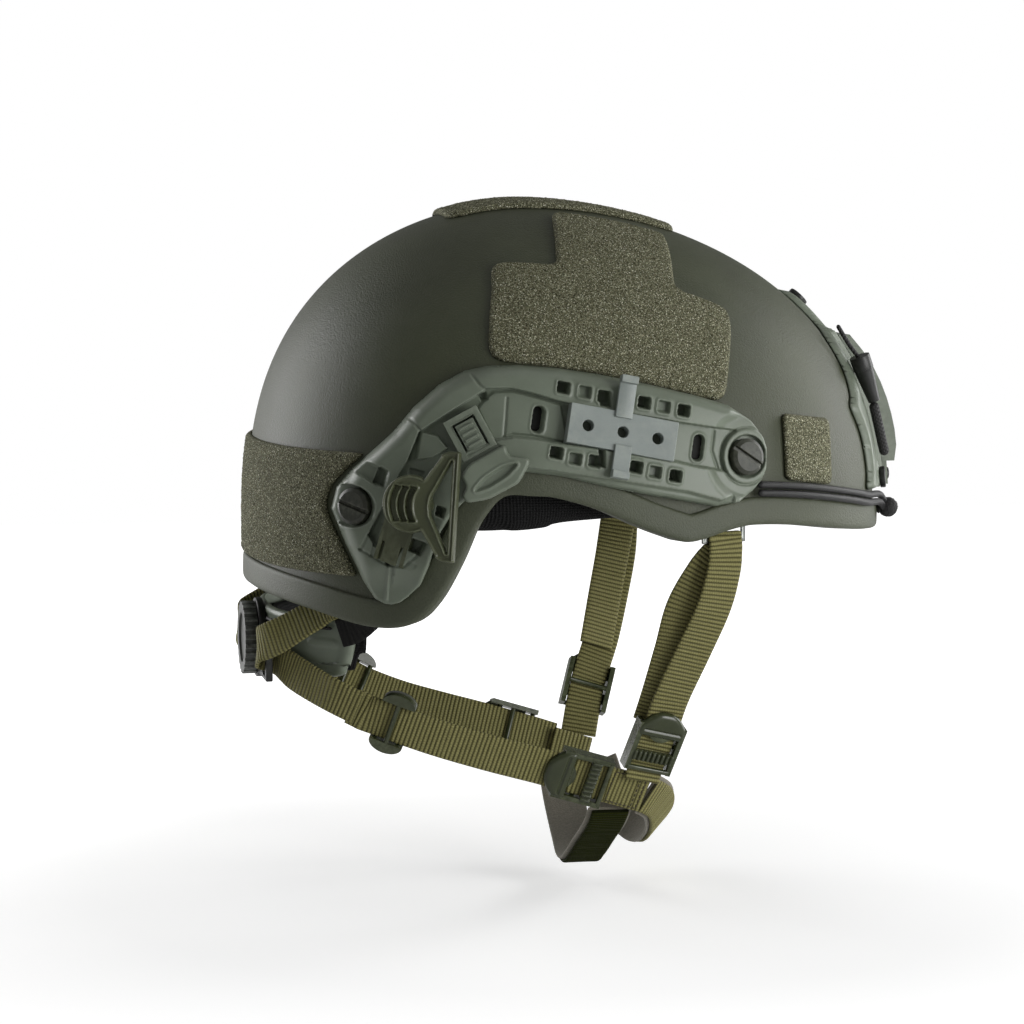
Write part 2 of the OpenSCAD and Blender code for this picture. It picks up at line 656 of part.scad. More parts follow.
// Leaf-shaped clip over the rail's lower lip
leaf = [
    [-15.6, 0.1], [-11.7, 2.4], [-11.4, 7.2], [-6.5, 9.4], [6.3, 8.8], [10.2, 8.4], [8.9, 3.7],
    [15.1, -1.1], [14.4, -3.2], [6.6, -7.6], [-7, -6.6], [-15.1, -3.2]
];
leaf_at = [-50.5, 34.5];
leaf_roll = 31;
leaf_t = 2.6;
module edge_clip() {
    color(rail_green) on_side(leaf_at.x, leaf_at.y, lip_h + gap, leaf_roll, lip_h + gap + leaf_t) difference() {
        linear_extrude(height = leaf_t) polygon(leaf);
        translate([-10, -2.4, 1.4]) rotate([0, 0, 4]) cube([20, 2.6, 3]);
    }
}

// Shroud: half width of its plate over height, then the receiver block
shroud_edge = [
    [18.5, 55], [26, 51.5], [42, 52], [55, 56], [58, 50], [68, 40], [84, 31], [87, 17], [97, 14], [102, 7]
];
shroud_screw_at = [[0, 95], [34, 22], [-34, 22]];
screw_reach = 16;
module shroud_bores(r) {
    for (s = shroud_screw_at) on_front(s[0], s[1])
        translate([0, 0, -screw_reach]) cylinder(r = r, h = 2 * screw_reach);
}
module shroud_plate() {
    rows = [18.5, 21, 26, 34, 42, 50, 55, 58, 63, 68, 76, 84, 87, 92, 97, 102];
    cols = 12;
    function outer_x(y, z) = max(front_x(y, z, patch_g + shroud_t),
        abs(y) < receiver_half_w + 3 && z < 86 ? front_x(0, z, patch_g + shroud_t) - 0.6 : -999);
    color(rail_green) difference() {
        sheet(
            [for (z = rows) let(w = curve_y(shroud_edge, z)) [for (j = [0:cols])
                let(y = mix(-w, w, j / cols)) [outer_x(y, z), y, z]]],
            [for (z = rows) let(w = curve_y(shroud_edge, z)) [for (j = [0:cols])
                let(y = mix(-w, w, j / cols)) [front_x(y, z, patch_g), y, z]]]);
        shroud_bores(screw_r + 0.15);
    }
}
// Front face of the receiver as [height above the brow edge, stand-off from the shell]
receiver_front = [[28, 9.4], [35, 11.2], [48, 11.8], [60, 11.9], [72, 11.5], [83, 10]];
module receiver_profile(from, to, out) {
    zs = [for (k = [0:8]) mix(from, to, k / 8)];
    polygon(concat(
        [for (z = zs) [front_x(0, z, patch_g + shroud_t) + gap, z]],
        [for (k = [8:-1:0]) [front_x(0, zs[k], 0) + curve_y(receiver_front, zs[k]) * out, zs[k]]]));
}
module shroud_receiver() {
    color(rail_green) difference() {
        union() {
            translate([0, receiver_half_w, 0]) rotate([90, 0, 0])
                linear_extrude(height = 2 * receiver_half_w) receiver_profile(28, 83, 1);
            translate([0, receiver_half_w - 4, 0]) rotate([90, 0, 0])
                linear_extrude(height = 2 * receiver_half_w - 8) receiver_profile(17.5, 28.5, 0.75);
        }
        translate([front_x(0, 50, 0) + 7, -11, 36]) cube([30, 22, 36]);
        translate([front_x(0, 50, 0) + 3, -14, 44]) cube([6, 28, 20]);
    }
}
screw_head_h = 2.4;
// Stop screw on the front of the receiver's foot
stop_z = 20.5;
stop_g = 7.6;
module shroud_screws() {
    seat = patch_g + shroud_t + 0.1;
    inside = shell_wall + 0.9;
    color(black) for (s = shroud_screw_at) on_front(s[0], s[1]) {
        translate([0, 0, -inside]) cylinder(r = screw_r, h = inside + seat + 0.5);
        translate([0, 0, seat]) difference() {
            cylinder(r = screw_head_r, h = screw_head_h);
            translate([0, 0, screw_head_h / 2]) cylinder(r = 1.6, h = 2, $fn = 6);
        }
    }
    color(black) translate([front_x(0, stop_z, 0) + stop_g, 0, stop_z]) rotate([0, 90, 0])
        cylinder(r = 2.8, h = 5);
}

// Bungee: two strands from under the rail to the ball beside the shroud
bungee_route = [
    [62, 25.5], [74, 24.5], [88, 22.8], [101, 20.6], [112, 18.4], [122, 16]
];
bungee_g = trim_fit + trim_t + gap + bungee_r;
ball_at = [138.5, -38, 9.5];
module bungee() {
    spread = bungee_r + 0.15;
    color(black) {
        for (s = [-1, 1]) cord(concat(
            [for (q = bungee_route) side_pt(q.x, q.y + s * spread, bungee_g)],
            [front_pt(-44, 14 + s * spread, bungee_g), ball_at + [-1.5, -1, s * spread]]), bungee_r);
        translate(ball_at) sphere(r = ball_r);
    }
}

// Lanyard beside the receiver: a thin hook into the plate, then a grip and a sleeve
lanyard_route = [[115.5, -37, 88], [120.5, -37, 80], [124.2, -37, 75.2]];
grip_route = [[125.4, -37, 74.6], [132.6, -36, 55]];
sleeve_route = [[132.1, -36, 54.6], [135, -35, 44], [138.6, -33, 31.5]];
module lanyard() {
    color(black) {
        cord(lanyard_route, 0.9, 6);
        cord(sleeve_route, 2.1);
    }
}
module lanyard_grips() {
    color(black) both_sides() {
        d = grip_route[1] - grip_route[0];
        aim(grip_route[0], d, [1, 0, 0]) {
            cylinder(r = 4.4, h = 6);
            translate([0, 0, 6]) cylinder(r1 = 4.2, r2 = 2.5, h = norm(d) - 6.1);
        }
    }
}

// Liner pads: panels with drawn-in edges, held off the shell by the hook discs
disc_drop = 1.2;
pad_g = -shell_wall - disc_drop - disc_t - 1.5 * gap;
function crown_of(u) = (1 - (2 * u - 1) ^ 4) ^ 0.5;
function swell(u, v) = 0.4 + 0.6 * min(crown_of(u), crown_of(v));
module wall_pad(a0, a1, low, high, rows = 5, cols = 10) {
    function grid(inside) = [for (i = [0:rows]) [for (j = [0:cols]) let(
            a = mix(a0, a1, j / cols), z = mix(curve_y(low, a), high, i / rows))
        at_plan(a, z, inside ? pad_g - pad_t * swell(j / cols, i / rows) : pad_g)]];
    color(black) sheet(grid(false), grid(true));
}
module front_pad() {
    wall_pad(-42, 42, [[-42, 26], [0, 18], [42, 26]], 72);
}
module rear_pad() {
    wall_pad(150, 210, [[150, -4], [180, 0], [210, -4]], 62);
}
module side_pad() {
    wall_pad(-121, -68, [[-121, 13], [-106, 9], [-68, 15.5]], 74);
}
module crown_pad() {
    n = 8;
    function grid(inside) = [for (i = [0:n]) [for (j = [0:n]) let(
            x = widest_x + mix(-62, 66, i / n) , y = mix(-52, 52, j / n),
            g = inside ? pad_g - crown_pad_t * swell(i / n, j / n) : pad_g)
        [x, y, top_z(x, y, g)]]];
    color(black) sheet(grid(false), grid(true));
}
// Hook discs: [plan angle, height] on the wall
disc_places = [[-28, 50], [28, 50], [160, 34], [200, 34], [-82, 50], [-107, 48], [82, 50], [107, 48]];
module hook_disc(p, n, near) {
    aim(p - n * (disc_t + disc_drop), n, near) cylinder(r = hook_disc_r, h = disc_t);
}
module hook_discs() {
    color(black) {
        for (d = disc_places) let(n = unit(cross(at_plan(d[0] + 1, d[1], 0) - at_plan(d[0] - 1, d[1], 0),
                at_plan(d[0], d[1] + 1, 0) - at_plan(d[0], d[1] - 1, 0))))
            hook_disc(at_plan(d[0], d[1], -shell_wall), n, [0, 0, 1]);
        for (x = [-40, 4]) let(rise = (top_z(x + 1, 0, 0) - top_z(x - 1, 0, 0)) / 2)
            hook_disc([x, 0, top_z(x, 0, -shell_wall)], unit([-rise, 0, 1]), [0, 1, 0]);
    }
}

// Headband inside the pads
band_t = 2.5;
band_g = pad_g - pad_t - band_t - 1;
module headband() {
    cols = 24;
    span = 112;
    function grid(g) = [for (z = [[28, -10], [47, 0]]) [for (j = [0:cols])
        let(a = mix(-span, span, j / cols)) at_plan(a, z[0] + z[1] * (a / span) ^ 2, g)]];
    color(black) sheet(grid(band_g + band_t), grid(band_g));
}

// Strap brackets: flat steel plates inside the shell with a loop below the rim
bracket_w = 21;
bracket_bar = 2.4;
bracket_top = 7.4;
bracket_slot = 6;
front_drop = 34.2;
rear_drop = 26;
function level(v) = unit([v.x, v.y, 0]);
module bracket(b, drop) {
    aim(side_base(b.x, b.y, -bracket_depth, bolt_seen), level(side_normal(b.x, b.y, bolt_seen)), [1, 0, 0])
        translate([0, 0, -bracket_t]) difference() {
            union() {
                cylinder(r = bracket_top, h = bracket_t);
                translate([-bracket_w / 2, -drop, 0]) cube([bracket_w, drop, bracket_t]);
            }
            translate([0, 0, -1]) cylinder(r = bolt_r + 0.5, h = 4);
            translate([-buckle_gap / 2, -drop + bracket_bar, -1]) cube([buckle_gap, bracket_slot, 4]);
        }
}
module strap_brackets() {
    color(steel) both_sides() {
        bracket(rail_bolt_at[0], front_drop);
        bracket(rail_bolt_at[1], rear_drop);
    }
}

// Straps: routes on the right and on the left, with the way each face looks
right_front_route = [
    [27.5, -67.5, -76], [29.8, -73, -64], [33.4, -81, -44], [36.5, -87.2, -26], [43.2, -91.6, -11],
    [50, -93.6, -1], [50.3, -94.1, 4.5], [50.8, -95.5, 6.3], [51.2, -96.9, 4.5],
    [51.4, -97, -1], [50.6, -96.4, -10], [47.4, -92.9, -25],
    [40.6, -84.6, -45], [34, -76.6, -64], [30.6, -72, -77], [28, -69.1, -86], [25.4, -66.8, -94],
    [23.6, -66.2, -101]
];
right_front_looks = [
    [0.1, 1, -0.4], [0.1, 1, -0.4], [0.1, 1, -0.3], [0, 1, -0.2], [-0.2, 1, -0.1],
    [-0.34, 0.94, 0], [-0.3, 0.8, 0.5], [0, 0, 1], [0.3, -0.8, 0.5],
    [0.34, -0.94, 0], [0.3, -1, -0.1], [0.2, -1, -0.3],
    [0.1, -1, -0.4], [0.1, -1, -0.4], [0.1, -1, -0.3], [0.1, -1, -0.3], [0.1, -1, -0.3],
    [0.15, -1, -0.25]
];
left_front_route = [
    [35, 76, -64], [40.5, 84, -44], [45.5, 89.5, -24], [48.5, 92.8, -11],
    [50.1, 93.7, -1], [50.3, 94.1, 4.5], [50.8, 95.5, 6.3], [51.2, 96.9, 4.5],
    [51.4, 97, -1], [51, 96.6, -10], [49.5, 94, -24],
    [45, 89, -42], [39, 81, -60], [33.5, 75.5, -73], [30, 72, -82], [27, 67.9, -92.2],
    [24.4, 64.6, -103]
];
left_front_looks = [
    [0, -1, -0.4], [0, -1, -0.3], [0, -1, -0.2], [-0.2, -1, -0.1],
    [-0.34, -0.94, 0], [-0.3, -0.8, 0.5], [0, 0, 1], [0.3, 0.8, 0.5],
    [0.34, 0.94, 0], [0.3, 1, -0.1], [0.1, 1, -0.3],
    [0, 1, -0.4], [0, 1, -0.4], [0, 1, -0.3], [0, 1, -0.3], [0.1, 1, -0.3],
    [0.15, 1, -0.25]
];
right_rear_route = [
    [-98, -58.7, -66.6], [-94.5, -59.7, -68.3], [-91.5, -60.5, -69.8], [-84, -62.8, -72.4], [-74, -65.2, -76.2],
    [-60, -67.4, -81], [-40, -68.4, -87.2], [-20, -67.9, -93], [-8, -67.4, -96.8], [3, -67.2, -100],
    [9.4, -67, -101.6]
];
left_rear_route = [
    [-98, 58.7, -64.6], [-94.5, 59.7, -66.5], [-91.5, 60.5, -68], [-84, 62.6, -72], [-74, 64.6, -77.4],
    [-58, 66, -84], [-40, 65.6, -89.5], [-24, 64.8, -94], [-12, 64.6, -97.6], [2, 65, -102],
    [12.6, 65.4, -105.6]
];
right_look = [0, -1, -0.25];
left_look = [0, 1, -0.25];
function turned(look, n) = [for (i = [0:n - 1]) look];
module right_front_strap() {
    color(webbing) ribbon(right_front_route, right_front_looks, web_w, web_t);
}
module left_front_strap() {
    color(webbing) ribbon(left_front_route, left_front_looks, web_w, web_t);
}
module right_rear_strap() {
    color(webbing) ribbon(right_rear_route, turned(right_look, len(right_rear_route)), web_w, web_t);
}
module left_rear_strap() {
    color(webbing) ribbon(left_rear_route, turned(left_look, len(left_rear_route)), web_w, web_t);
}

// Nape straps: from the rear bracket round the housing's keeper bar and forward
nape_strap_route = [
    [-89, -79.9, -2], [-89.6, -79.1, -9], [-94, -73.5, -15], [-100.5, -65, -19.5],
    [-107, -56.5, -24], [-111.9, -52.2, -28.6], [-118.5, -49.5, -33], [-124.5, -46.5, -37],
    [-130.5, -42.5, -40.6], [-133.6, -37, -43],
    [-133, -31.6, -46.4], [-129.6, -28.4, -48], [-126, -31.6, -49.4], [-124, -38, -51],
    [-119.4, -46, -54.4], [-112.2, -55.4, -58.6], [-105.6, -61.6, -62], [-98, -65, -65.8]
];
nape_strap_looks = [
    [-0.69, -0.73, 0], [-0.69, -0.73, 0], [-0.7, -0.7, 0], [-0.78, -0.62, 0],
    [-0.84, -0.5, 0.1], [-0.84, -0.5, 0.2], [-0.8, -0.5, 0.2], [-0.8, -0.55, 0.1],
    [-0.8, -0.6, 0], [-1, -0.1, 0],
    [-0.9, 0.5, 0], [0, 1, 0], [0.9, 0.5, 0], [0.9, 0.5, 0],
    [0.6, 0.8, 0], [0.6, 0.8, 0.05], [0.45, 0.87, 0.15], [0.3, 0.92, 0.25]
];
module nape_strap() {
    color(webbing) ribbon(nape_strap_route, nape_strap_looks, web_w - 1, web_t);
}

// Buckles, drawn with the strap along y and its face towards z
bar_r = 1.1;
frame_side = 2.1;
module buckle_sides(l, low, high) {
    for (s = [-1, 1]) translate([s * (buckle_gap / 2 + frame_side / 2) - frame_side / 2, -l / 2, low])
        cube([frame_side, l, high - low]);
}
module cross_bar(y, z) {
    translate([-buckle_gap / 2 - 1, y, z]) rotate([0, 90, 0]) cylinder(r = bar_r, h = buckle_gap + 2);
}
module ladder_lock() {
    low = -web_t / 2 - 2 * bar_r - 0.3;
    high = web_t / 2 + 2.2;
    buckle_sides(22, low, high);
    cross_bar(-11 + bar_r, web_t / 2 + bar_r + gap);
    cross_bar(0.5, -web_t / 2 - bar_r - gap);
    translate([-buckle_gap / 2 - 1, -5.5, web_t / 2 + gap]) cube([buckle_gap + 2, 3.4, 1.7]);
    translate([-buckle_gap / 2 - 1, 5.4, web_t / 2 + gap]) cube([buckle_gap + 2, 5.6, 1.7]);
    translate([0, 9.6, web_t / 2 + gap]) cylinder(r = 6.4, h = 1.7);
}
glide_half_l = 7.2;
module tri_glide() {
    reach = web_t / 2 + 2 * bar_r + 0.3;
    for (s = [0, 180]) rotate([0, 0, s]) translate([buckle_gap / 2, 0, -reach]) intersection() {
        scale([0.6, 1, 1]) cylinder(r = glide_half_l, h = 2 * reach);
        translate([0, -glide_half_l, 0]) cube([glide_half_l, 2 * glide_half_l, 2 * reach]);
    }
    for (s = [-1, 1]) cross_bar(s * (glide_half_l - 2 * bar_r), -web_t / 2 - bar_r - gap);
    cross_bar(0, web_t / 2 + bar_r + gap);
}
// Places a buckle: middle, way the strap runs, way its face looks
module on_strap(p, run, look) {
    t = unit(run);
    n = unit(look - t * (look * t));
    aim(p, n, cross(t, n)) children();
}
module front_buckles() {
    color(dark_olive) {
        on_strap(right_front_route[15], right_front_route[14] - right_front_route[16], [0.1, -1, -0.3])
            ladder_lock();
        on_strap(left_front_route[14], left_front_route[13] - left_front_route[15], [0, 1, -0.3]) ladder_lock();
    }
}
module rear_buckles() {
    color(dark_olive) {
        on_strap(mix(right_rear_route[8], right_rear_route[9], 0.5),
            right_rear_route[7] - right_rear_route[9], right_look) ladder_lock();
        on_strap(mix(left_rear_route[8], left_rear_route[9], 0.3),
            left_rear_route[7] - left_rear_route[9], left_look) ladder_lock();
    }
}
module tri_glides() {
    color(dark_olive) {
        on_strap(mix(right_rear_route[3], right_rear_route[4], 0.25),
            right_rear_route[3] - right_rear_route[4], right_look) tri_glide();
        on_strap(mix(left_rear_route[3], left_rear_route[4], 0.4),
            left_rear_route[3] - left_rear_route[4], left_look) tri_glide();
    }
}

// Chin bands, sewn to a junction on each side
front_band_route = [
    [27.6, -61, -108.4], [31.8, -57.2, -110.8], [35.5, -50, -114], [39.5, -37, -119.8], [42.6, -20, -127.4],
    [43.6, -2, -134.2], [42, 16, -136], [38.3, 32, -132], [33.8, 46, -123.8], [31.6, 55.6, -115.4]
];
front_band_looks = [
    [0.2, -1, -0.25], [0.42, -0.85, -0.3], [0.56, -0.7, -0.4], [0.66, -0.5, -0.52], [0.7, -0.25, -0.62],
    [0.7, 0, -0.7], [0.7, 0.25, -0.64], [0.64, 0.5, -0.52], [0.5, 0.75, -0.4], [0.3, 0.92, -0.25]
];
under_band_route = [
    [11.8, -59.2, -114.8], [11.7, -54, -119.6], [11.6, -45, -125.5], [11.4, -30, -133.5], [11.3, -15, -141.8],
    [11.3, -3, -147.2], [11.6, 8, -147.4], [12.4, 20, -143.2], [13, 33, -137], [13.4, 45, -129.6],
    [13.6, 54.4, -121]
];
under_band_looks = [
    [0, -0.9, -0.4], [0, -0.7, -0.7], [0, -0.5, -0.85], [0, -0.47, -0.88], [0, -0.42, -0.9],
    [0, -0.12, -1], [0, 0.22, -1], [0, 0.42, -0.9], [0, 0.5, -0.85], [0, 0.64, -0.75],
    [0, 0.8, -0.6]
];
module front_chin_band() {
    color(webbing) ribbon(front_band_route, front_band_looks, web_w, web_t);
}
module under_chin_band() {
    color("#2a2f14") ribbon(under_band_route, under_band_looks, web_w, web_t);
}
module chin_linings() {
    inside = -(web_t + lining_t) / 2 - gap / 2;
    color(suede) {
        ribbon(front_band_route, front_band_looks, lining_w, lining_t, inside);
        ribbon(under_band_route, under_band_looks, lining_w, lining_t, inside);
    }
}
junction_t = 2.6;
module chin_junctions() {
    color(webbing) {
        on_strap([17.2, -62.8, -104.9], [0.93, 0.12, -0.3], [0.15, -1, -0.25])
            translate([-web_w / 2, -9, -junction_t / 2]) cube([web_w, 18, junction_t]);
        on_strap([19.5, 61.2, -109.4], [0.93, 0.02, -0.3], [0.15, 1, -0.25])
            translate([-web_w / 2, -9, -junction_t / 2]) cube([web_w, 18, junction_t]);
    }
}

// Nape cradle: a curved plate behind the head, described by y and a distance inside its inner face
function nape_x(y) = -cradle_back + cradle_wrap * (abs(y) / 60) ^ 3;
function nape_pt(y, d, z) = let(
    s = 3 * cradle_wrap / 60 * (abs(y) / 60) ^ 2 * sign(y),
    n = unit([1, -s]))
    [nape_x(y) + n.x * d, y + n.y * d, z];
cradle_top = -30;
cradle_low = -57;
cradle_cols = 20;
function cradle_edge(z) = cradle_half_w - 3.6 * ((cradle_top - z) / (cradle_top - cradle_low)) ^ 2;
function nape_grid(d, top, low, extra) = [
    for (i = [0:3]) let(z = mix(low, top, i / 3), w = cradle_edge(z) + extra)
    [for (j = [0:cradle_cols]) let(y = mix(-w, w, j / cradle_cols))
        nape_pt(y, d, z + (z < -50 ? 3 : 0) * (abs(y) / 60) ^ 4)]];
module nape_cradle() {
    color(rail_green) difference() {
        sheet(nape_grid(-cradle_t, cradle_top, cradle_low, 0), nape_grid(0, cradle_top, cradle_low, 0));
        translate([-cradle_back - 10, 0, dial_z]) rotate([0, 90, 0]) cylinder(r = dial_shaft_r + 0.2, h = 20);
    }
}
module nape_pad() {
    pad_low = cradle_low + 1.5;
    pad_over = 4;
    pad_top = cradle_top - 1.5;
    outer = nape_grid(gap, pad_top, pad_low, pad_over);
    inner = [for (i = [0:3]) let(d = gap + nape_pad_t * (i % 3 == 0 ? 0.6 : 1))
        nape_grid(d, pad_top, pad_low, pad_over)[i]];
    color(black) sheet(outer, inner);
}

// Arms of the cradle, running forward inside the headband
arm_route = [
    [-103, -59.4, -36], [-96.5, -63.9, -33], [-86, -69, -22], [-76, -73, -10], [-68, -75.5, 0],
    [-58, -76.6, 12], [-46, -76.6, 22], [-34, -77, 28]
];
module band_arms() {
    color(black) both_sides()
        ribbon(arm_route, turned([-0.4, -1, 0], len(arm_route)), 12, 1.6);
}

// Dial unit. Its housing carries a keeper bar for each nape strap.
housing_t = 3;
housing_r = 17;
wing_y = 37;
wing_low = -59;
wing_top = -39;
dial_x = -cradle_back - cradle_t;
slot_in = 24;
slot_out = 33.4;
module dial_housing() {
    color(black) difference() {
        union() {
            translate([dial_x - housing_t - 0.1, 0, dial_z]) rotate([0, 90, 0])
                cylinder(r = housing_r, h = housing_t);
            translate([dial_x - housing_t - 0.1, -wing_y, wing_low])
                cube([housing_t, 2 * wing_y, wing_top - wing_low]);
        }
        for (s = [-1, 1])
            translate([dial_x - 10, s * (slot_in + slot_out) / 2 - (slot_out - slot_in) / 2, wing_low + 1.6])
            cube([20, slot_out - slot_in, wing_top - wing_low - 3.2 + 10]);
        translate([dial_x - 2, 0, dial_z]) rotate([0, 90, 0]) cylinder(r = 8.4, h = 3);
        translate([dial_x - 10, 0, dial_z]) rotate([0, 90, 0]) cylinder(r = dial_shaft_r + 0.1, h = 20);
    }
}
module lace_spool() {
    color("#4a4c48") translate([dial_x - 1.8, 0, dial_z]) rotate([0, 90, 0]) difference() {
        cylinder(r = 7.8, h = 1.5);
        translate([0, 0, -1]) cylinder(r = dial_shaft_r + 0.05, h = 4);
    }
}
knob_grooves = 24;
module dial_knob() {
    color("#30322e") translate([dial_x - housing_t - 0.4, 0, dial_z]) rotate([0, -90, 0]) {
        difference() {
            cylinder(r = knob_r, h = knob_t);
            for (k = [0:knob_grooves - 1]) rotate([0, 0, 360 * k / knob_grooves])
                translate([knob_r + 0.5, 0, -1]) cylinder(r = 1.3, h = knob_t + 2, $fn = 16);
            translate([0, 0, knob_t - 1]) cylinder(r = knob_r - 5, h = 2);
        }
        translate([0, 0, -housing_t - cradle_t - 0.2])
            cylinder(r = dial_shaft_r, h = housing_t + cradle_t + 0.4);
    }
}
module nape_laces() {
    color(black) both_sides()
        cord([for (y = [18, 25, 34, 44, 54]) nape_pt(-y, -cradle_t - 1.1, -34.5)], 0.7, 6);
}

shell();
edge_trim();
crown_patch();
side_patch();  // right_side_patch
left() side_patch();  // left_side_patch
rear_patch();
front_patch();  // right_front_patch
left() front_patch();  // left_front_patch
rail();  // right_rail
left() rail();  // left_rail
rail_bolts();
rail_nuts();
accessory_plate();  // right_accessory_plate
left() accessory_plate();  // left_accessory_plate
latch_insert();  // right_latch_insert
left() latch_insert();  // left_latch_insert
latch_tongue();  // right_latch_tongue
left() latch_tongue();  // left_latch_tongue
clip_carriage();  // right_clip_carriage
left() clip_carriage();  // left_clip_carriage
swivel_clip();  // right_swivel_clip
left() swivel_clip();  // left_swivel_clip
edge_clip();  // right_edge_clip
left() edge_clip();  // left_edge_clip
shroud_plate();
shroud_receiver();
shroud_screws();
bungee();  // right_bungee
left() bungee();  // left_bungee
lanyard();  // right_lanyard
left() lanyard();  // left_lanyard
lanyard_grips();
crown_pad();
front_pad();
rear_pad();
side_pad();  // right_side_pad
left() side_pad();  // left_side_pad
hook_discs();
headband();
strap_brackets();
right_front_strap();
left_front_strap();
right_rear_strap();
left_rear_strap();
front_buckles();
rear_buckles();
tri_glides();
chin_junctions();
front_chin_band();
under_chin_band();
chin_linings();
nape_cradle();
band_arms();
nape_pad();
dial_housing();
lace_spool();
dial_knob();
nape_laces();
nape_strap();  // right_nape_strap
left() nape_strap();  // left_nape_strap
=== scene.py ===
import math

import bpy
import numpy as np
from mathutils import Matrix, Vector


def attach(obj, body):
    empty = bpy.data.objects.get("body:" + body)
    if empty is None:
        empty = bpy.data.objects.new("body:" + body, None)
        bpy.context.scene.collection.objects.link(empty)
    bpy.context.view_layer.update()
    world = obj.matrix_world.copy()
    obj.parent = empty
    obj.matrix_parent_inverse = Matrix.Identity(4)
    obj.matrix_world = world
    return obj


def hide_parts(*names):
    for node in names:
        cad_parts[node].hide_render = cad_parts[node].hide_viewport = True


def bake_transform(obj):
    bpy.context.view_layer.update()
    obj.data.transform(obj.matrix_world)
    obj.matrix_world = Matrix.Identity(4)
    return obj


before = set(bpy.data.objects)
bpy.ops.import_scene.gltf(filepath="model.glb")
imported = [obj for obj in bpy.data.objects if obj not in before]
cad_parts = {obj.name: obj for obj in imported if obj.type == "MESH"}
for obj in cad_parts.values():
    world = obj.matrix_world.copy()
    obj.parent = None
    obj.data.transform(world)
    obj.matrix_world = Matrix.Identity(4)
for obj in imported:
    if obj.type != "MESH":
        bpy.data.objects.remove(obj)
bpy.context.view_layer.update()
MM = 0.001

# Camera: 11 degrees to the front of the wearer's right, 6 degrees above and 1.5 m away
PHOTO_SIZE, PHOTO_FOCAL, SENSOR = 1024, 3464, 36
YAW, TILT = math.radians(-11), math.radians(6)
BACK = Vector((math.sin(YAW) * math.cos(TILT), -math.cos(YAW) * math.cos(TILT), math.sin(TILT)))
camera_data = bpy.data.cameras.new("camera")
camera_data.sensor_width = SENSOR
camera_data.lens = SENSOR * PHOTO_FOCAL / PHOTO_SIZE
camera_data.clip_start, camera_data.clip_end = 0.1, 20
camera = bpy.data.objects.new("camera", camera_data)
camera.location = Vector((-0.019, 0, 0.0065)) + BACK * 1.5
right = Vector((math.cos(YAW), math.sin(YAW), 0))
up = BACK.cross(right)
camera.rotation_euler = Matrix((right, up, BACK)).transposed().to_euler()
bpy.context.collection.objects.link(camera)
bpy.context.scene.camera = camera


# Mesh making
def turned_out(points, faces):
    """Faces turned outwards: the sum of a . (b x c) over a fan of each face is positive for a closed form."""
    volume = 0.0
    for f in faces:
        for k in range(1, f.shape[1] - 1):
            a, b, c = points[f[:, 0]], points[f[:, k]], points[f[:, k + 1]]
            volume += np.einsum("ij,ij->", a, np.cross(b, c))
    return volume > 0


def make(name, points, faces, material, slot, body="helmet", uvs=None, replaces=(), crease=40):
    """A closed mesh from points in millimetres and a list of face arrays, each with its own corner count."""
    points = np.asarray(points, float).reshape(-1, 3)
    faces = [np.asarray(f, int) for f in faces if len(f)]
    if not turned_out(points, faces):
        faces = [f[:, ::-1] for f in faces]
        uvs = None if uvs is None else [u[:, ::-1] for u in uvs]
    loops = np.concatenate([f.ravel() for f in faces])
    used, loops = np.unique(loops, return_inverse=True)
    counts = np.concatenate([np.full(len(f), f.shape[1]) for f in faces])
    mesh = bpy.data.meshes.new(name)
    mesh.vertices.add(len(used))
    mesh.vertices.foreach_set("co", (points[used] * MM).astype(np.float32).ravel())
    mesh.loops.add(len(loops))
    mesh.loops.foreach_set("vertex_index", loops.astype(np.int32))
    mesh.polygons.add(len(counts))
    mesh.polygons.foreach_set("loop_start", np.concatenate([[0], np.cumsum(counts)[:-1]]).astype(np.int32))
    mesh.polygons.foreach_set("use_smooth", np.ones(len(counts), bool))
    mesh.update(calc_edges=True)
    if uvs is not None:
        layer = mesh.uv_layers.new(name="UVMap")
        corners = np.concatenate([u.reshape(-1, 2) for u in uvs])
        layer.data.foreach_set("uv", corners.astype(np.float32).ravel())
    if crease:
        mesh.set_sharp_from_angle(angle=math.radians(crease))
    piece = bpy.data.objects.new(name, mesh)
    bpy.context.collection.objects.link(piece)
    mesh.materials.append(finish[material])
    if body:
        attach(piece, body)
    if replaces:
        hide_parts(*replaces)
    return piece


def grid_faces(n, m, loop_n=False, loop_m=False, start=0):
    """Four-cornered faces over n rows of m points, with each corner's row and column."""
    rows = np.arange(n if loop_n else n - 1)[:, None, None] + np.array([0, 0, 1, 1])
    cols = np.arange(m if loop_m else m - 1)[None, :, None] + np.array([0, 1, 1, 0])
    rows, cols = np.broadcast_arrays(rows, cols)
    rows, cols = rows.reshape(-1, 4), cols.reshape(-1, 4)
    return start + (rows % n) * m + cols % m, rows, cols


def tube(name, rings, material, slot, body="helmet", across=None, along=None, looped=False, **extra):
    """A skin over rings of points. Open ends are closed by one flat face each. Texture coordinates are
    the lengths across and along, in metres."""
    rings = np.asarray(rings, float)
    n, m = rings.shape[:2]
    faces, rows, cols = grid_faces(n, m, looped, True)
    parts = [faces]
    uvs = None
    if along is not None:
        across, along = np.asarray(across) * MM, np.asarray(along) * MM
        uvs = [np.stack([across[cols], along[rows]], -1)]
    if not looped:
        ends = np.stack([np.arange(m)[::-1], (n - 1) * m + np.arange(m)])
        parts.append(ends)
        if uvs is not None:
            uvs.append(np.stack([across[ends % m], along[np.array([[0] * m, [n - 1] * m])]], -1))
    return make(name, rings, parts, material, slot, body, uvs, **extra)


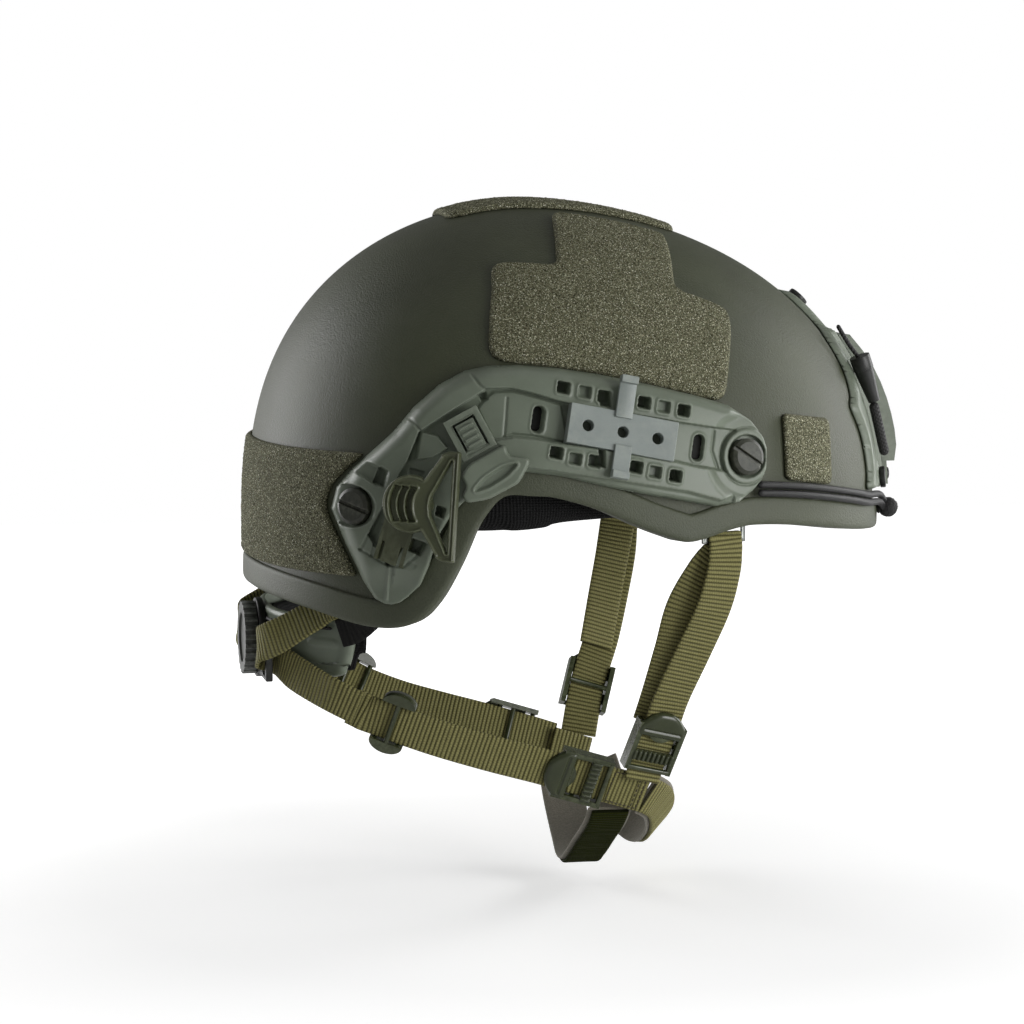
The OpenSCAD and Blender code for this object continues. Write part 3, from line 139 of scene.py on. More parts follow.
def slab_parts(outer, inner):
    """Points and faces of the solid between two grids of the same size."""
    n, m = outer.shape[:2]
    top, k = grid_faces(n, m)[0], n * m
    i, j, last = np.arange(n - 1) * m, np.arange(m - 1), (n - 1) * m
    walls = [
        np.stack([i + m, i, i + k, i + m + k], 1),
        np.stack([i + m - 1, i + 2 * m - 1, i + 2 * m - 1 + k, i + m - 1 + k], 1),
        np.stack([j, j + 1, j + 1 + k, j + k], 1),
        np.stack([last + j + 1, last + j, last + j + k, last + j + 1 + k], 1)]
    points = np.concatenate([outer.reshape(-1, 3), inner.reshape(-1, 3)])
    return points, [top, top[:, ::-1] + k, np.concatenate(walls)]


def unit(v):
    """Vectors divided by their own length."""
    return v / np.maximum(np.linalg.norm(v, axis=-1, keepdims=True), 1e-9)


def smooth_path(points, parts=24):
    """Catmull-Rom curve: 0.5(2b + (c-a)t + (2a-5b+4c-d)t^2 + (3b-a-3c+d)t^3) between b and c."""
    p = np.asarray(points, float)
    a, b = np.concatenate([p[:1], p[:-2]]), p[:-1]
    c, d = p[1:], np.concatenate([p[2:], p[-1:]])
    t = (np.arange(parts) / parts)[None, :, None]
    a, b, c, d = (v[:, None, :] for v in (a, b, c, d))
    out = 0.5 * (2 * b + (c - a) * t + (2 * a - 5 * b + 4 * c - d) * t**2 + (3 * b - a - 3 * c + d) * t**3)
    return np.concatenate([out.reshape(-1, p.shape[1]), p[-1:]])


def even_path(points, step, *more):
    """The path and anything that goes with it at equal steps of length. Returns them and the lengths."""
    length = np.concatenate([[0], np.cumsum(np.linalg.norm(np.diff(points, axis=0), axis=1))])
    s = np.linspace(0, length[-1], max(int(length[-1] / step), 2) + 1)
    return [np.stack([np.interp(s, length, q[:, k]) for k in range(3)], 1) for q in (points, *more)] + [s]


def line_distance(line, x, z):
    """Least distance from points to a line of straight stretches."""
    p = np.asarray(line, float)
    near = np.full(x.shape, 1e9)
    for (ax, az), (bx, bz) in zip(p[:-1], p[1:]):
        ex, ez = bx - ax, bz - az
        t = np.clip(((x - ax) * ex + (z - az) * ez) / (ex * ex + ez * ez + 1e-12), 0, 1)
        near = np.minimum(near, np.hypot(x - ax - t * ex, z - az - t * ez))
    return near


def outline_distance(outline, x, z):
    """Signed distance from points to a closed outline, positive inside: the sign comes from counting the
    edges that a ray along x crosses."""
    p = np.asarray(outline, float)
    odd = np.zeros(x.shape, bool)
    for (ax, az), (bx, bz) in zip(p, np.roll(p, -1, axis=0)):
        if abs(bz - az) > 1e-9:
            odd ^= ((az > z) != (bz > z)) & (x < ax + (z - az) * (bx - ax) / (bz - az))
    near = line_distance(np.concatenate([p, p[:1]]), x, z)
    return np.where(odd, near, -near)


def ease(t):
    """Smooth step: 3t^2 - 2t^3 on t held between 0 and 1."""
    t = np.clip(t, 0, 1)
    return t * t * (3 - 2 * t)


def dome(d, width):
    """Quarter-round edge: sqrt(1 - (1 - d/width)^2), 0 at the edge and 1 past the width."""
    return np.sqrt(np.clip(1 - (1 - np.clip(d / width, 0, 1)) ** 2, 0, 1))


def mix(a, b, w):
    """a (1 - w) + b w"""
    return a * (1 - w) + b * w


# The shell's surface, grown by g: (|x/a|^m + |y/b|^m)^(p/m) + (z/c)^q = 1
WIDEST_X, SHELL_FRONT, SHELL_REAR, HALF_W, SHELL_H, WALL = -18.0, 156.0, 115.0, 119.0, 140.0, 8.0
PLAN, SIDE, CROWN = 2.15, 1.865, 2.64


def height_ratio(z, g):
    """(1 - (z/c)^q)^(1/p) above the brow edge and 1 + 0.12 (z/c)^2 below it."""
    c = SHELL_H + g
    rise = np.clip(1 - np.clip(z / c, 0, 1) ** CROWN, 0, None) ** (1 / SIDE)
    return np.where(z < 0, 1 + 0.12 * (z / c) ** 2, rise)


def half_l(x, g):
    """Half length a, to the front or to the rear of the widest place, grown by g."""
    return np.where(x > 0, SHELL_FRONT, SHELL_REAR) + g


def plan_share(x, y, g):
    """|x/a|^m + |y/b|^m for lengths from the shell's widest place, 1 on the outline at the brow's height."""
    return (np.abs(x) / half_l(x, g)) ** PLAN + (np.abs(y) / (HALF_W + g)) ** PLAN


def at_plan(a, z, g):
    """Surface point at plan angle a and height z: the radius makes plan_share 1, times the height's ratio."""
    r = plan_share(np.cos(a), np.sin(a), g) ** (-1 / PLAN) * height_ratio(z, g)
    return np.stack(np.broadcast_arrays(WIDEST_X + r * np.cos(a), r * np.sin(a), z), -1)


def side_y(x, z, g):
    """Half width at x and z: b (h^m - |x/a|^m)^(1/m), with h the height's ratio."""
    far = (np.abs(x - WIDEST_X) / half_l(x - WIDEST_X, g)) ** PLAN
    return (HALF_W + g) * np.clip(height_ratio(z, g) ** PLAN - far, 0, None) ** (1 / PLAN)


def front_x(y, z, g):
    """The front's x at y and z: widest place + a (h^m - |y/b|^m)^(1/m), with h the height's ratio."""
    r = height_ratio(z, g) ** PLAN - (np.abs(y) / (HALF_W + g)) ** PLAN
    return WIDEST_X + (SHELL_FRONT + g) * np.clip(r, 0, None) ** (1 / PLAN)


def top_z(x, y, g):
    """Height over x and y: c (1 - u^(p/m))^(1/q), with u the plan's share."""
    u = plan_share(x - WIDEST_X, y, g)
    return (SHELL_H + g) * np.clip(1 - u ** (SIDE / PLAN), 0, None) ** (1 / CROWN)


def side_pt(x, z, g):
    """Right-hand surface point at x and z."""
    return np.stack(np.broadcast_arrays(x, -side_y(x, z, g), z), -1)


def side_normal(x, z, g=0.0):
    """Outward normal at x and z: the cross product of the surface's steps along x and along z."""
    ahead, up = side_pt(x + 1, z, g) - side_pt(x - 1, z, g), side_pt(x, z + 1, g) - side_pt(x, z - 1, g)
    return unit(np.cross(ahead, up))


def front_pt(y, z, g):
    """Front surface point at y and z."""
    return np.stack(np.broadcast_arrays(front_x(y, z, g), y, z), -1)


def at_tilt(x, t, g):
    """Right-hand point at x and angle t from the vertical, found by halving along the ray."""
    lo, hi = np.zeros(np.broadcast(x, t).shape), np.full(np.broadcast(x, t).shape, 200.0)
    for _ in range(30):
        mid = (lo + hi) / 2
        inside = mid * np.cos(t) < top_z(x, mid * np.sin(t), g)
        lo, hi = np.where(inside, mid, lo), np.where(inside, hi, mid)
    return np.stack(np.broadcast_arrays(x, -lo * np.sin(t), lo * np.cos(t)), -1)


def side_frame(x, z, g, roll, seen):
    """Base point and axes at height g of the place that stands at x and z at the height seen."""
    n = side_normal(x, z, seen)
    base = side_pt(x, z, seen) - n * (seen - g)
    turn = np.array([math.cos(math.radians(roll)), 0, math.sin(math.radians(roll))])
    i = unit(turn - n * (turn @ n))
    return base, i, np.cross(n, i), n


SIDES = (("right", 1.0), ("left", -1.0))


def on_side(points, sign):
    """Right-hand points on their own side, or mirrored to the left."""
    return np.asarray(points, float) * [1, sign, 1]


RIM = np.array([
    [-133, -21], [-116, -24.4], [-100, -28.3], [-90, -29.2], [-83, -28], [-77.5, -25], [-73, -20], [-69, -14],
    [-62.5, -1.5], [-57, 11], [-52, 18.5], [-47.5, 23.4], [-43, 25.5], [-34, 25.2], [-24, 24.3], [-6, 19],
    [13, 11], [24, 7], [31, 5], [38, 6], [48, 8.7], [60, 10.4], [83, 8.7], [118, 3], [138, 0]])


def curve(points, x):
    """Hermite curve through points, with each slope taken from its neighbours."""
    p = np.asarray(points, float)
    i = np.arange(len(p))
    lo, hi = np.maximum(i - 1, 0), np.minimum(i + 1, len(p) - 1)
    slope = (p[hi, 1] - p[lo, 1]) / (p[hi, 0] - p[lo, 0])
    x = np.clip(x, p[0, 0], p[-1, 0])
    k = np.clip(np.searchsorted(p[:, 0], x) - 1, 0, len(p) - 2)
    w = p[k + 1, 0] - p[k, 0]
    t = (x - p[k, 0]) / w
    return (p[k, 1] * (2 * t**3 - 3 * t**2 + 1) + slope[k] * w * (t**3 - 2 * t**2 + t)
            + p[k + 1, 1] * (3 * t**2 - 2 * t**3) + slope[k + 1] * w * (t**3 - t**2))


def rim_height(a):
    """Height of the rim at plan angle a, settled by a few rounds of reading x at the last height."""
    z = np.zeros_like(a)
    for _ in range(8):
        z = curve(RIM, at_plan(a, z, 0)[..., 0]) + 1.9
    return z


# Shader parts
def lin(r, g, b):
    """A colour given from 0 to 255, as the linear values that a shader reads."""
    c = np.array([r, g, b]) / 255
    return (*np.where(c <= 0.04045, c / 12.92, ((c + 0.055) / 1.055) ** 2.4), 1.0)


def fill(tree, node, inputs):
    """Sets a node's inputs by name or by place (_0, _1), each linked or given a value."""
    for key, value in inputs.items():
        socket = node.inputs[int(key[1:])] if key[0] == "_" else node.inputs[key.replace("_", " ")]
        if isinstance(value, bpy.types.NodeSocket):
            tree.links.new(value, socket)
        else:
            socket.default_value = value
    return node


def add(tree, kind, settings=None, **inputs):
    """A new shader node with its own settings and inputs."""
    node = tree.nodes.new("ShaderNode" + kind)
    for key, value in (settings or {}).items():
        setattr(node, key, value)
    return fill(tree, node, inputs)


def sums(tree, how, a, b=0.0, c=0.0):
    """What a Math node makes of a, b and c."""
    return add(tree, "Math", {"operation": how}, _0=a, _1=b, _2=c).outputs[0]


def times(tree, a, b, c=0.0):
    """a x b + c"""
    return sums(tree, "MULTIPLY_ADD", a, b, c)


def places(tree, size):
    """Object coordinates divided by a size in metres."""
    at, by = add(tree, "TexCoord").outputs["Object"], sums(tree, "DIVIDE", 1.0, size)
    return add(tree, "VectorMath", {"operation": "SCALE"}, _0=at, Scale=by).outputs[0]


def lengths(tree, across, along):
    """A strap's or cord's own texture coordinates, each divided by a length in metres."""
    uv = add(tree, "SeparateXYZ", _0=add(tree, "TexCoord").outputs["UV"]).outputs
    return sums(tree, "DIVIDE", uv[0], across), sums(tree, "DIVIDE", uv[1], along)


def crossed(tree, a, b, turn):
    """sin((a + b) turn) and sin((a - b) turn)"""
    return [sums(tree, "SINE", times(tree, sums(tree, how, a, b), turn)) for how in ("ADD", "SUBTRACT")]


def noise(tree, vector, scale=1.0, detail=2.0, rough=0.5):
    """The noise texture's value, from 0 to 1."""
    return add(tree, "TexNoise", Vector=vector, Scale=scale, Detail=detail, Roughness=rough).outputs["Fac"]


def cells(tree, vector, feature, **inputs):
    """The distance that a cell texture gives, by the feature named."""
    return add(tree, "TexVoronoi", {"feature": feature}, Vector=vector, **inputs).outputs["Distance"]


def spread(tree, value, low, high, to_low=0.0, to_high=1.0):
    """The value carried in a straight line from low..high to to_low..to_high, and held there."""
    return add(tree, "MapRange", _0=value, _1=low, _2=high, _3=to_low, _4=to_high).outputs[0]


def pebble(tree, given):
    """Pebbled paint: the distance to scattered cell centres gives round grains, and slow noise blotches."""
    at = places(tree, given["Size"])
    fine = noise(tree, at, 1.7, 3.0)
    slow = noise(tree, places(tree, given["Spread"]), 1.0, 3.0)
    return {"Tone": times(tree, fine, 0.45, times(tree, slow, 0.6)),
            "Height": times(tree, cells(tree, at, "SMOOTH_F1", Scale=1.0, Smoothness=0.6), -0.8, fine)}


def pile(tree, given):
    """Loop pile: tangled fine noise for the yarns, and small bright cells as painted glints where the fibres
    catch the light.
    """
    at = places(tree, given["Size"])
    warp = add(tree, "TexNoise", Vector=at, Scale=0.7, Detail=1.0).outputs["Color"]
    bent = add(tree, "VectorMath", {"operation": "MULTIPLY_ADD"}, _0=warp, _1=(1.6, 1.6, 1.6), _2=at)
    bent = bent.outputs[0]
    yarns = noise(tree, bent, 1.3, 3.0, 0.65)
    fibres = cells(tree, bent, "F1", Scale=0.9)
    painted_glints = spread(tree, fibres, given["Glints"], 0.05)
    return {"Tone": times(tree, painted_glints, 0.55, spread(tree, yarns, 0.3, 0.72, 0.0, 0.62)),
            "Height": sums(tree, "SUBTRACT", yarns, fibres)}


def weave(tree, given):
    """Webbing: |sin| ribs along the strap's length and finer warp threads across it. The tone follows this
    height: painted highlights on the crests and painted shade in the grooves.
    """
    u, v = lengths(tree, given["Thread"], given["Rib"])
    rib = sums(tree, "ABSOLUTE", sums(tree, "SINE", times(tree, v, math.pi)))
    step = times(tree, sums(tree, "FLOOR", v), math.pi / 2)
    thread = sums(tree, "ABSOLUTE", sums(tree, "SINE", times(tree, u, math.pi, step)))
    height = times(tree, thread, 0.28, rib)
    fuzz = noise(tree, places(tree, 0.0005))
    return {"Tone": times(tree, fuzz, 0.4, times(tree, height, 0.55)), "Height": height}


def knit(tree, given):
    """Spacer knit: the product of two crossed sines in object space gives small lozenge holes."""
    x, y, z = add(tree, "SeparateXYZ", _0=places(tree, given["Pitch"])).outputs
    one, two = crossed(tree, sums(tree, "ADD", x, y), z, math.pi * 2)
    height = times(tree, times(tree, one, two), 0.5, 0.5)
    fuzz = noise(tree, places(tree, 0.0007))
    return {"Tone": times(tree, height, 0.6, times(tree, fuzz, 0.4)), "Height": height}


def braid(tree, given):
    """Braided cover: two sets of slanting sines along the cord, the greater one showing."""
    one, two = crossed(tree, *lengths(tree, given["Pitch"], given["Pitch"]), math.pi)
    height = sums(tree, "MAXIMUM", sums(tree, "ABSOLUTE", one), sums(tree, "ABSOLUTE", two))
    return {"Tone": height, "Height": height}


def moulded(tree, given):
    """Moulded or cast surface: very fine grain with slow streaks of tone."""
    fine = noise(tree, places(tree, given["Size"]))
    slow = noise(tree, places(tree, given["Spread"]), 1.0, 4.0, 0.6)
    return {"Tone": times(tree, fine, 0.25, times(tree, slow, 0.75)), "Height": times(tree, slow, 0.3, fine)}


def edge_wear(tree, given):
    """Rubbed edges: where the surface bends outwards, broken up by noise."""
    bend = spread(tree, add(tree, "NewGeometry").outputs["Pointiness"], 0.515, 0.58)
    patches = spread(tree, noise(tree, places(tree, given["Size"]), 1.0, 4.0, 0.65), 0.35, 0.65)
    return {"Mask": times(tree, times(tree, bend, patches), given["Amount"])}


def dust(tree, given):
    """Settled dust: surfaces that face up, broken up by noise."""
    facing = add(tree, "SeparateXYZ", _0=add(tree, "NewGeometry").outputs["Normal"]).outputs[2]
    patches = spread(tree, noise(tree, places(tree, given["Size"]), 1.0, 5.0, 0.7), 0.4, 0.75)
    return {"Mask": times(tree, times(tree, spread(tree, facing, 0.1, 1.0), patches), given["Amount"])}


def group(build, inputs):
    """A node group with float inputs, and with the outputs that its build function returns."""
    tree = bpy.data.node_groups.new(build.__name__, "ShaderNodeTree")
    for key in inputs:
        tree.interface.new_socket(name=key, in_out="INPUT", socket_type="NodeSocketFloat")
    made = build(tree, tree.nodes.new("NodeGroupInput").outputs)
    for key in made:
        tree.interface.new_socket(name=key, in_out="OUTPUT", socket_type="NodeSocketFloat")
    fill(tree, tree.nodes.new("NodeGroupOutput"), made)
    return tree


GROUPS = {build.__name__: group(build, inputs) for build, inputs in (
    (pebble, ["Size", "Spread"]), (pile, ["Size", "Glints"]), (weave, ["Rib", "Thread"]), (knit, ["Pitch"]),
    (braid, ["Pitch"]), (moulded, ["Size", "Spread"]), (edge_wear, ["Amount", "Size"]),
    (dust, ["Amount", "Size"]))}


def use(tree, kind, values):
    """A group's node with its inputs set in their order."""
    node = tree.nodes.new("ShaderNodeGroup")
    node.node_tree = GROUPS[kind]
    return fill(tree, node, {f"_{k}": value for k, value in enumerate(values)})


finish = {}


def finish_of(name, tones, rough, pattern, values, bump, wear=None, dust=None, **shader):
    """A material: a pattern's tone picks between colours, rubbed edges and dust are laid over, the tone also
    moves the roughness, and the pattern's height gives the relief."""
    material = bpy.data.materials.new(name)
    material.use_nodes = True
    tree = material.node_tree
    made = use(tree, pattern, values).outputs
    ramp = add(tree, "ValToRGB", Fac=made["Tone"])
    stops = ramp.color_ramp.elements
    while len(stops) < len(tones):
        stops.new(0.5)
    for stop, (place, *colour) in zip(stops, tones):
        stop.position, stop.color = place, lin(*colour)
    colour = ramp.outputs[0]
    for kind, layer in (("edge_wear", wear), ("dust", dust)):
        if layer:
            mask = use(tree, kind, layer[:2]).outputs["Mask"]
            over = lin(*layer[2:])
            colour = add(tree, "Mix", {"data_type": "RGBA"}, _0=mask, _6=colour, _7=over).outputs[2]
    relief = add(tree, "Bump", Strength=bump[0], Distance=bump[1], Height=made["Height"])
    fill(tree, tree.nodes["Principled BSDF"], {
        "Base_Color": colour, "Roughness": spread(tree, made["Tone"], 0.0, 1.0, *rough),
        "Normal": relief.outputs[0], **shader})
    finish[name] = material


# Materials. Tones are (place, red, green, blue). Then come the roughness at the darkest and at the lightest
# tone, the pattern with its inputs, and the relief's strength and depth. What lies over it is (amount, size,
# red, green, blue). Sizes are in metres.
DARK, LIGHT = 0.25, 0.75
finish_of("shell_paint", ((0.2, 44, 48, 31), (0.75, 67, 72, 50)), (0.42, 0.6), "pebble", (0.00085, 0.05),
          (0.55, 0.0003), dust=(0.05, 0.008, 140, 143, 126))
finish_of("trim_rubber", ((0.2, 54, 58, 42), (0.8, 76, 81, 62)), (0.45, 0.62), "pebble", (0.0008, 0.04),
          (0.5, 0.00028), wear=(0.3, 0.004, 96, 100, 84))
# Tones above 0.62 come only from the pile's painted glints on the fibres
finish_of("loop_pile", ((0.12, 48, 48, 32), (0.4, 118, 118, 93), (0.62, 182, 181, 150), (0.9, 254, 253, 238)),
          (0.7, 0.95), "pile", (0.0007, 0.4), (1.0, 0.0006), Specular_IOR_Level=0.2)
finish_of("rail_polymer", ((DARK, 94, 102, 87), (LIGHT, 116, 125, 110)), (0.34, 0.5), "moulded",
          (0.0003, 0.025), (0.12, 0.0001), wear=(0.4, 0.003, 142, 148, 134),
          dust=(0.12, 0.004, 150, 152, 138))
finish_of("plate_polymer", ((DARK, 120, 128, 124), (LIGHT, 142, 150, 146)), (0.3, 0.45), "moulded",
          (0.0003, 0.02), (0.1, 0.0001), wear=(0.5, 0.003, 160, 166, 156))
finish_of("clip_polymer", ((DARK, 60, 64, 43), (LIGHT, 78, 83, 58)), (0.3, 0.46), "moulded", (0.0003, 0.02),
          (0.12, 0.0001), wear=(0.45, 0.003, 126, 132, 108))
finish_of("buckle_polymer", ((DARK, 42, 48, 26), (LIGHT, 56, 62, 38)), (0.18, 0.3), "moulded",
          (0.0004, 0.015), (0.1, 0.0001), wear=(0.4, 0.003, 112, 118, 90))
finish_of("bolt_finish", ((DARK, 30, 33, 22), (LIGHT, 42, 45, 33)), (0.4, 0.56), "moulded", (0.0005, 0.01),
          (0.15, 0.0001), wear=(0.5, 0.002, 120, 122, 106))
finish_of("bracket_steel", ((0.3, 112, 115, 112), (0.7, 150, 153, 150)), (0.22, 0.38), "moulded",
          (0.0005, 0.02), (0.1, 0.00005), Metallic=1.0)
finish_of("black_polymer", ((DARK, 12, 13, 11), (LIGHT, 22, 23, 20)), (0.32, 0.5), "moulded", (0.0004, 0.015),
          (0.2, 0.0001), wear=(0.4, 0.002, 70, 72, 68))
finish_of("knob_polymer", ((DARK, 36, 38, 32), (LIGHT, 54, 57, 50)), (0.25, 0.45), "moulded", (0.0004, 0.015),
          (0.2, 0.0001), wear=(0.7, 0.003, 150, 154, 148))
finish_of("bungee_cover", ((0.1, 7, 7, 7), (0.8, 22, 22, 22)), (0.35, 0.55), "braid", (0.0011,),
          (0.35, 0.0002))
finish_of("braid_cover", ((0.1, 8, 8, 8), (0.85, 28, 28, 27)), (0.45, 0.65), "braid", (0.0018,),
          (0.8, 0.0004))
finish_of("rough_rubber", ((0.2, 12, 12, 12), (0.8, 28, 28, 27)), (0.6, 0.85), "pebble", (0.0009, 0.01),
          (0.8, 0.0004))
finish_of("pad_knit", ((0.1, 6, 6, 6), (0.8, 24, 24, 24)), (0.75, 0.95), "knit", (0.0022,), (0.8, 0.0006),
          Specular_IOR_Level=0.25)
finish_of("hook_black", ((0.2, 12, 12, 12), (0.8, 30, 30, 30)), (0.5, 0.75), "pile", (0.0009, 0.1),
          (0.8, 0.0005))
# Webbing tones run with the rib height: the light end is a painted highlight on the crests, the dark end
# painted shade in the grooves
for name, tones, relief, shine in (
        ("webbing_cloth", ((0.15, 44, 42, 20), (0.5, 93, 90, 53), (0.9, 139, 135, 86)), (0.8, 0.00045), 0.25),
        # A darker copy of the webbing for the under-chin band: painted shade
        ("dark_webbing_cloth", ((0.15, 10, 13, 1), (0.9, 40, 45, 12)), (0.8, 0.0004), 0.05),
        ("black_webbing_cloth", ((0.15, 8, 8, 8), (0.9, 28, 28, 26)), (0.7, 0.0004), 0.2)):
    finish_of(name, tones, (0.5, 0.75), "weave", (0.0018, 0.0011), relief, Specular_IOR_Level=shine)
finish_of("suede_lining", ((0.2, 110, 106, 94), (0.8, 146, 141, 128)), (0.8, 0.95), "pile", (0.0008, 0.05),
          (0.35, 0.0003), Sheen_Weight=0.15)
finish_of("thread_finish", ((0.2, 40, 36, 24), (0.8, 78, 72, 52)), (0.6, 0.8), "moulded", (0.0004, 0.004),
          (0.2, 0.0001))
# Painted shade: near-black for the sheets laid in the rail's floor slots
finish_of("painted_shade_pocket", ((0.2, 8, 9, 7), (0.8, 18, 19, 15)), (0.7, 0.9), "moulded", (0.0005, 0.01),
          (0.1, 0.0001))

# Cords: two bungee strands on each side, the lanyards and the nape laces
BUNGEE_R, BUNGEE_G = 1.5, 3.6
BALL = np.array([138.5, -38.0, 9.5])
BUNGEE_ROUTE = [[62, 25.5], [74, 24.5], [88, 22.8], [101, 20.6], [112, 18.4], [122, 16]]


def round_cord(name, route, r, material, slot, body="helmet", step=0.8, sides=14, **extra):
    """A circle carried along a path, square to it, with domed ends."""
    path, s = even_path(smooth_path(route), step)
    heads = unit(np.gradient(path, axis=0))
    side = unit(np.cross(heads, [0.1, 0.2, 1.0]))
    rise = np.cross(heads, side)
    turn = np.linspace(0, 2 * np.pi, sides, endpoint=False)[:, None]
    size = r * np.clip(dome(np.minimum(s, s[-1] - s) + 0.05, r), 0.25, 1)
    circle = np.cos(turn) * side[:, None] + np.sin(turn) * rise[:, None]
    rings = path[:, None] + size[:, None, None] * circle
    around = np.linspace(0, 2 * np.pi * r, sides + 1)
    return tube(name, rings, material, slot, body, around, s, **extra), path, s[-1]


for side, sign in SIDES:
    for level, at in (("upper", 1), ("lower", -1)):
        shift = at * (BUNGEE_R + 0.15)
        route = [side_pt(x, z + shift, BUNGEE_G) for x, z in BUNGEE_ROUTE]
        route += [front_pt(-44.0, 14 + shift, BUNGEE_G), BALL + [-1.5, -1, shift]]
        strand, path, length = round_cord(
            f"{side}_bungee_{level}", on_side(route, sign), BUNGEE_R, "bungee_cover", "bungee",
            replaces=[f"{side}_bungee"] if at > 0 else [])

LACE_R = 0.7
CRADLE_BACK, CRADLE_WRAP, CRADLE_T = 125.5, 30.0, 2.5


def nape_pt(y, d, z):
    """Point at y and height z, a distance d inside the cradle's inner face x = 30 |y/60|^3 - 125.5."""
    slope = 3 * CRADLE_WRAP / 60 * (np.abs(y) / 60) ** 2 * np.sign(y)
    n = unit(np.stack([np.ones_like(slope), -slope], -1))
    x = -CRADLE_BACK + CRADLE_WRAP * (np.abs(y) / 60) ** 3 + n[..., 0] * d
    return np.stack(np.broadcast_arrays(x, y + n[..., 1] * d, z), -1)


for side, sign in SIDES:
    route = on_side(nape_pt(-np.array([18.0, 25, 34, 44, 54]), -CRADLE_T - 1.1, -34.5), sign)
    lace, path, length = round_cord(
        f"{side}_nape_lace", route, LACE_R, "braid_cover", "bungee", "cradle", sides=10,
        replaces=["nape_laces"] if sign > 0 else [])


# Shell
def closed_skin(rings, first, last):
    """Rings joined in turn, with a fan of triangles to a point at each end."""
    n, m = rings.shape[:2]
    k = np.arange(m)
    points = np.concatenate([rings.reshape(-1, 3), [first], [last]])
    top = np.stack([np.full(m, n * m), (k + 1) % m, k], 1)
    low = np.stack([np.full(m, n * m + 1), (n - 1) * m + k, (n - 1) * m + (k + 1) % m], 1)
    return points, [grid_faces(n, m, False, True)[0], top, low]


def shell_rings(angles, shares, g):
    """Rings from the rim up: z = rim + (crown - rim) sin(87 deg x share)^(2 / 2.64)."""
    low = rim_height(angles)
    high = SHELL_H + g
    z = low + (high - low) * np.sin(np.radians(87) * shares)[:, None] ** (2 / CROWN)
    return at_plan(angles[None, :], z, g)


turn = np.linspace(0, 2 * np.pi, 384, endpoint=False)
outside = shell_rings(turn, np.linspace(1, 0, 110), 0.0)
inside = shell_rings(turn, np.linspace(0, 1, 44), -WALL)
tops = [WIDEST_X, 0, SHELL_H], [WIDEST_X, 0, SHELL_H - WALL]
points, faces = closed_skin(np.concatenate([outside, inside]), *tops)
make("shell_skin", points, faces, "shell_paint", "shell", replaces=["shell"], crease=55)

# Edge trim: a rounded channel carried round the rim
turn = np.linspace(0, 2 * np.pi, 720, endpoint=False)
rim = at_plan(turn, rim_height(turn), 0.0)
out = unit(np.stack([np.cos(turn) / SHELL_FRONT, np.sin(turn) / HALF_W, 0 * turn], 1))
rise = unit(np.cross(out, np.roll(rim, -1, 0) - np.roll(rim, 1, 0)))
section = np.array([
    [-1.9, -0.5], [-1.75, 0.6], [-1.3, 1.25], [-0.5, 1.62], [0.6, 1.75], [2.6, 1.8], [5.6, 1.8],
    [7.6, 1.76], [8.6, 1.62], [9.2, 1.3], [9.5, 0.8], [9.6, 0.3], [9.3, 0.12], [4.3, 0.12], [-0.25, 0.12],
    [-0.25, -4], [-0.25, -8.7], [6.6, -8.7], [7, -9.1], [6.8, -9.8], [6.2, -10], [0, -10], [-1.3, -9.7],
    [-1.8, -9], [-1.9, -8], [-1.9, -4]])
rings = rim[:, None] + rise[:, None] * section[None, :, :1]
plan = np.arctan2(rings[..., 1], rings[..., 0] - WIDEST_X)
rings = at_plan(plan, rings[..., 2], section[None, :, 1])
tube("edge_trim_channel", rings, "trim_rubber", "trim", looped=True, replaces=["edge_trim"], crease=50)


# Pieces that lie on the surface: a height field over an outline
def masked_slab(name, chart, outline, step, top, low, material, slot, body="helmet", roughen=0.0, seed=1,
                holes=(), **extra):
    """A plate over an outline with holes, drawn in chart coordinates u, v. Grid points near an edge are moved
    onto it along the slope of the signed distance min(outline, -hole). top gives the height for
    (u, v, distance inside), and low gives the underside's the same way or is one height."""
    outline = np.asarray(outline, float)

    def distance(u, v):
        """The least of the distance inside the outline and the distances outside its holes."""
        inside = outline_distance(outline, u, v)
        for hole in holes:
            inside = np.minimum(inside, -outline_distance(hole, u, v))
        return inside

    lo, hi = outline.min(0) - 2 * step, outline.max(0) + 2 * step
    u, v = np.meshgrid(np.arange(lo[0], hi[0], step), np.arange(lo[1], hi[1], step), indexing="ij")
    d = distance(u, v)
    for _ in range(2):
        du = distance(u + 0.02, v) - d
        dv = distance(u, v + 0.02) - d
        size = np.maximum(np.hypot(du, dv), 1e-6)
        near = (d > -0.8 * step) & (d < 0.4 * step)
        u, v = np.where(near, u - d * du / size, u), np.where(near, v - d * dv / size, v)
        d = distance(u, v)
    held = d > -0.08 * step
    full = held[:-1, :-1] & held[1:, :-1] & held[1:, 1:] & held[:-1, 1:]
    n, m = u.shape
    quads = grid_faces(n, m)[0][full.ravel()]
    edges = np.stack([quads, np.roll(quads, -1, 1)], -1).reshape(-1, 2)
    codes, back = edges[:, 0] * (n * m) + edges[:, 1], edges[:, 1] * (n * m) + edges[:, 0]
    rim_edges = edges[~np.isin(codes, back)]
    d = np.maximum(d, 0)
    high = top(u, v, d)
    if roughen:
        grain = np.random.default_rng(seed).standard_normal(u.shape)
        high = high + roughen * grain * np.clip(d / (2 * step), 0.4, 1)
    shift = n * m
    under = low(u, v, d) if callable(low) else 0 * u + low
    points = np.concatenate([chart(u, v, high).reshape(-1, 3), chart(u, v, under).reshape(-1, 3)])
    walls = np.stack([rim_edges[:, 1], rim_edges[:, 0], rim_edges[:, 0] + shift, rim_edges[:, 1] + shift], 1)
    return make(name, points, [quads, quads[:, ::-1] + shift, walls], material, slot, body, crease=0, **extra)


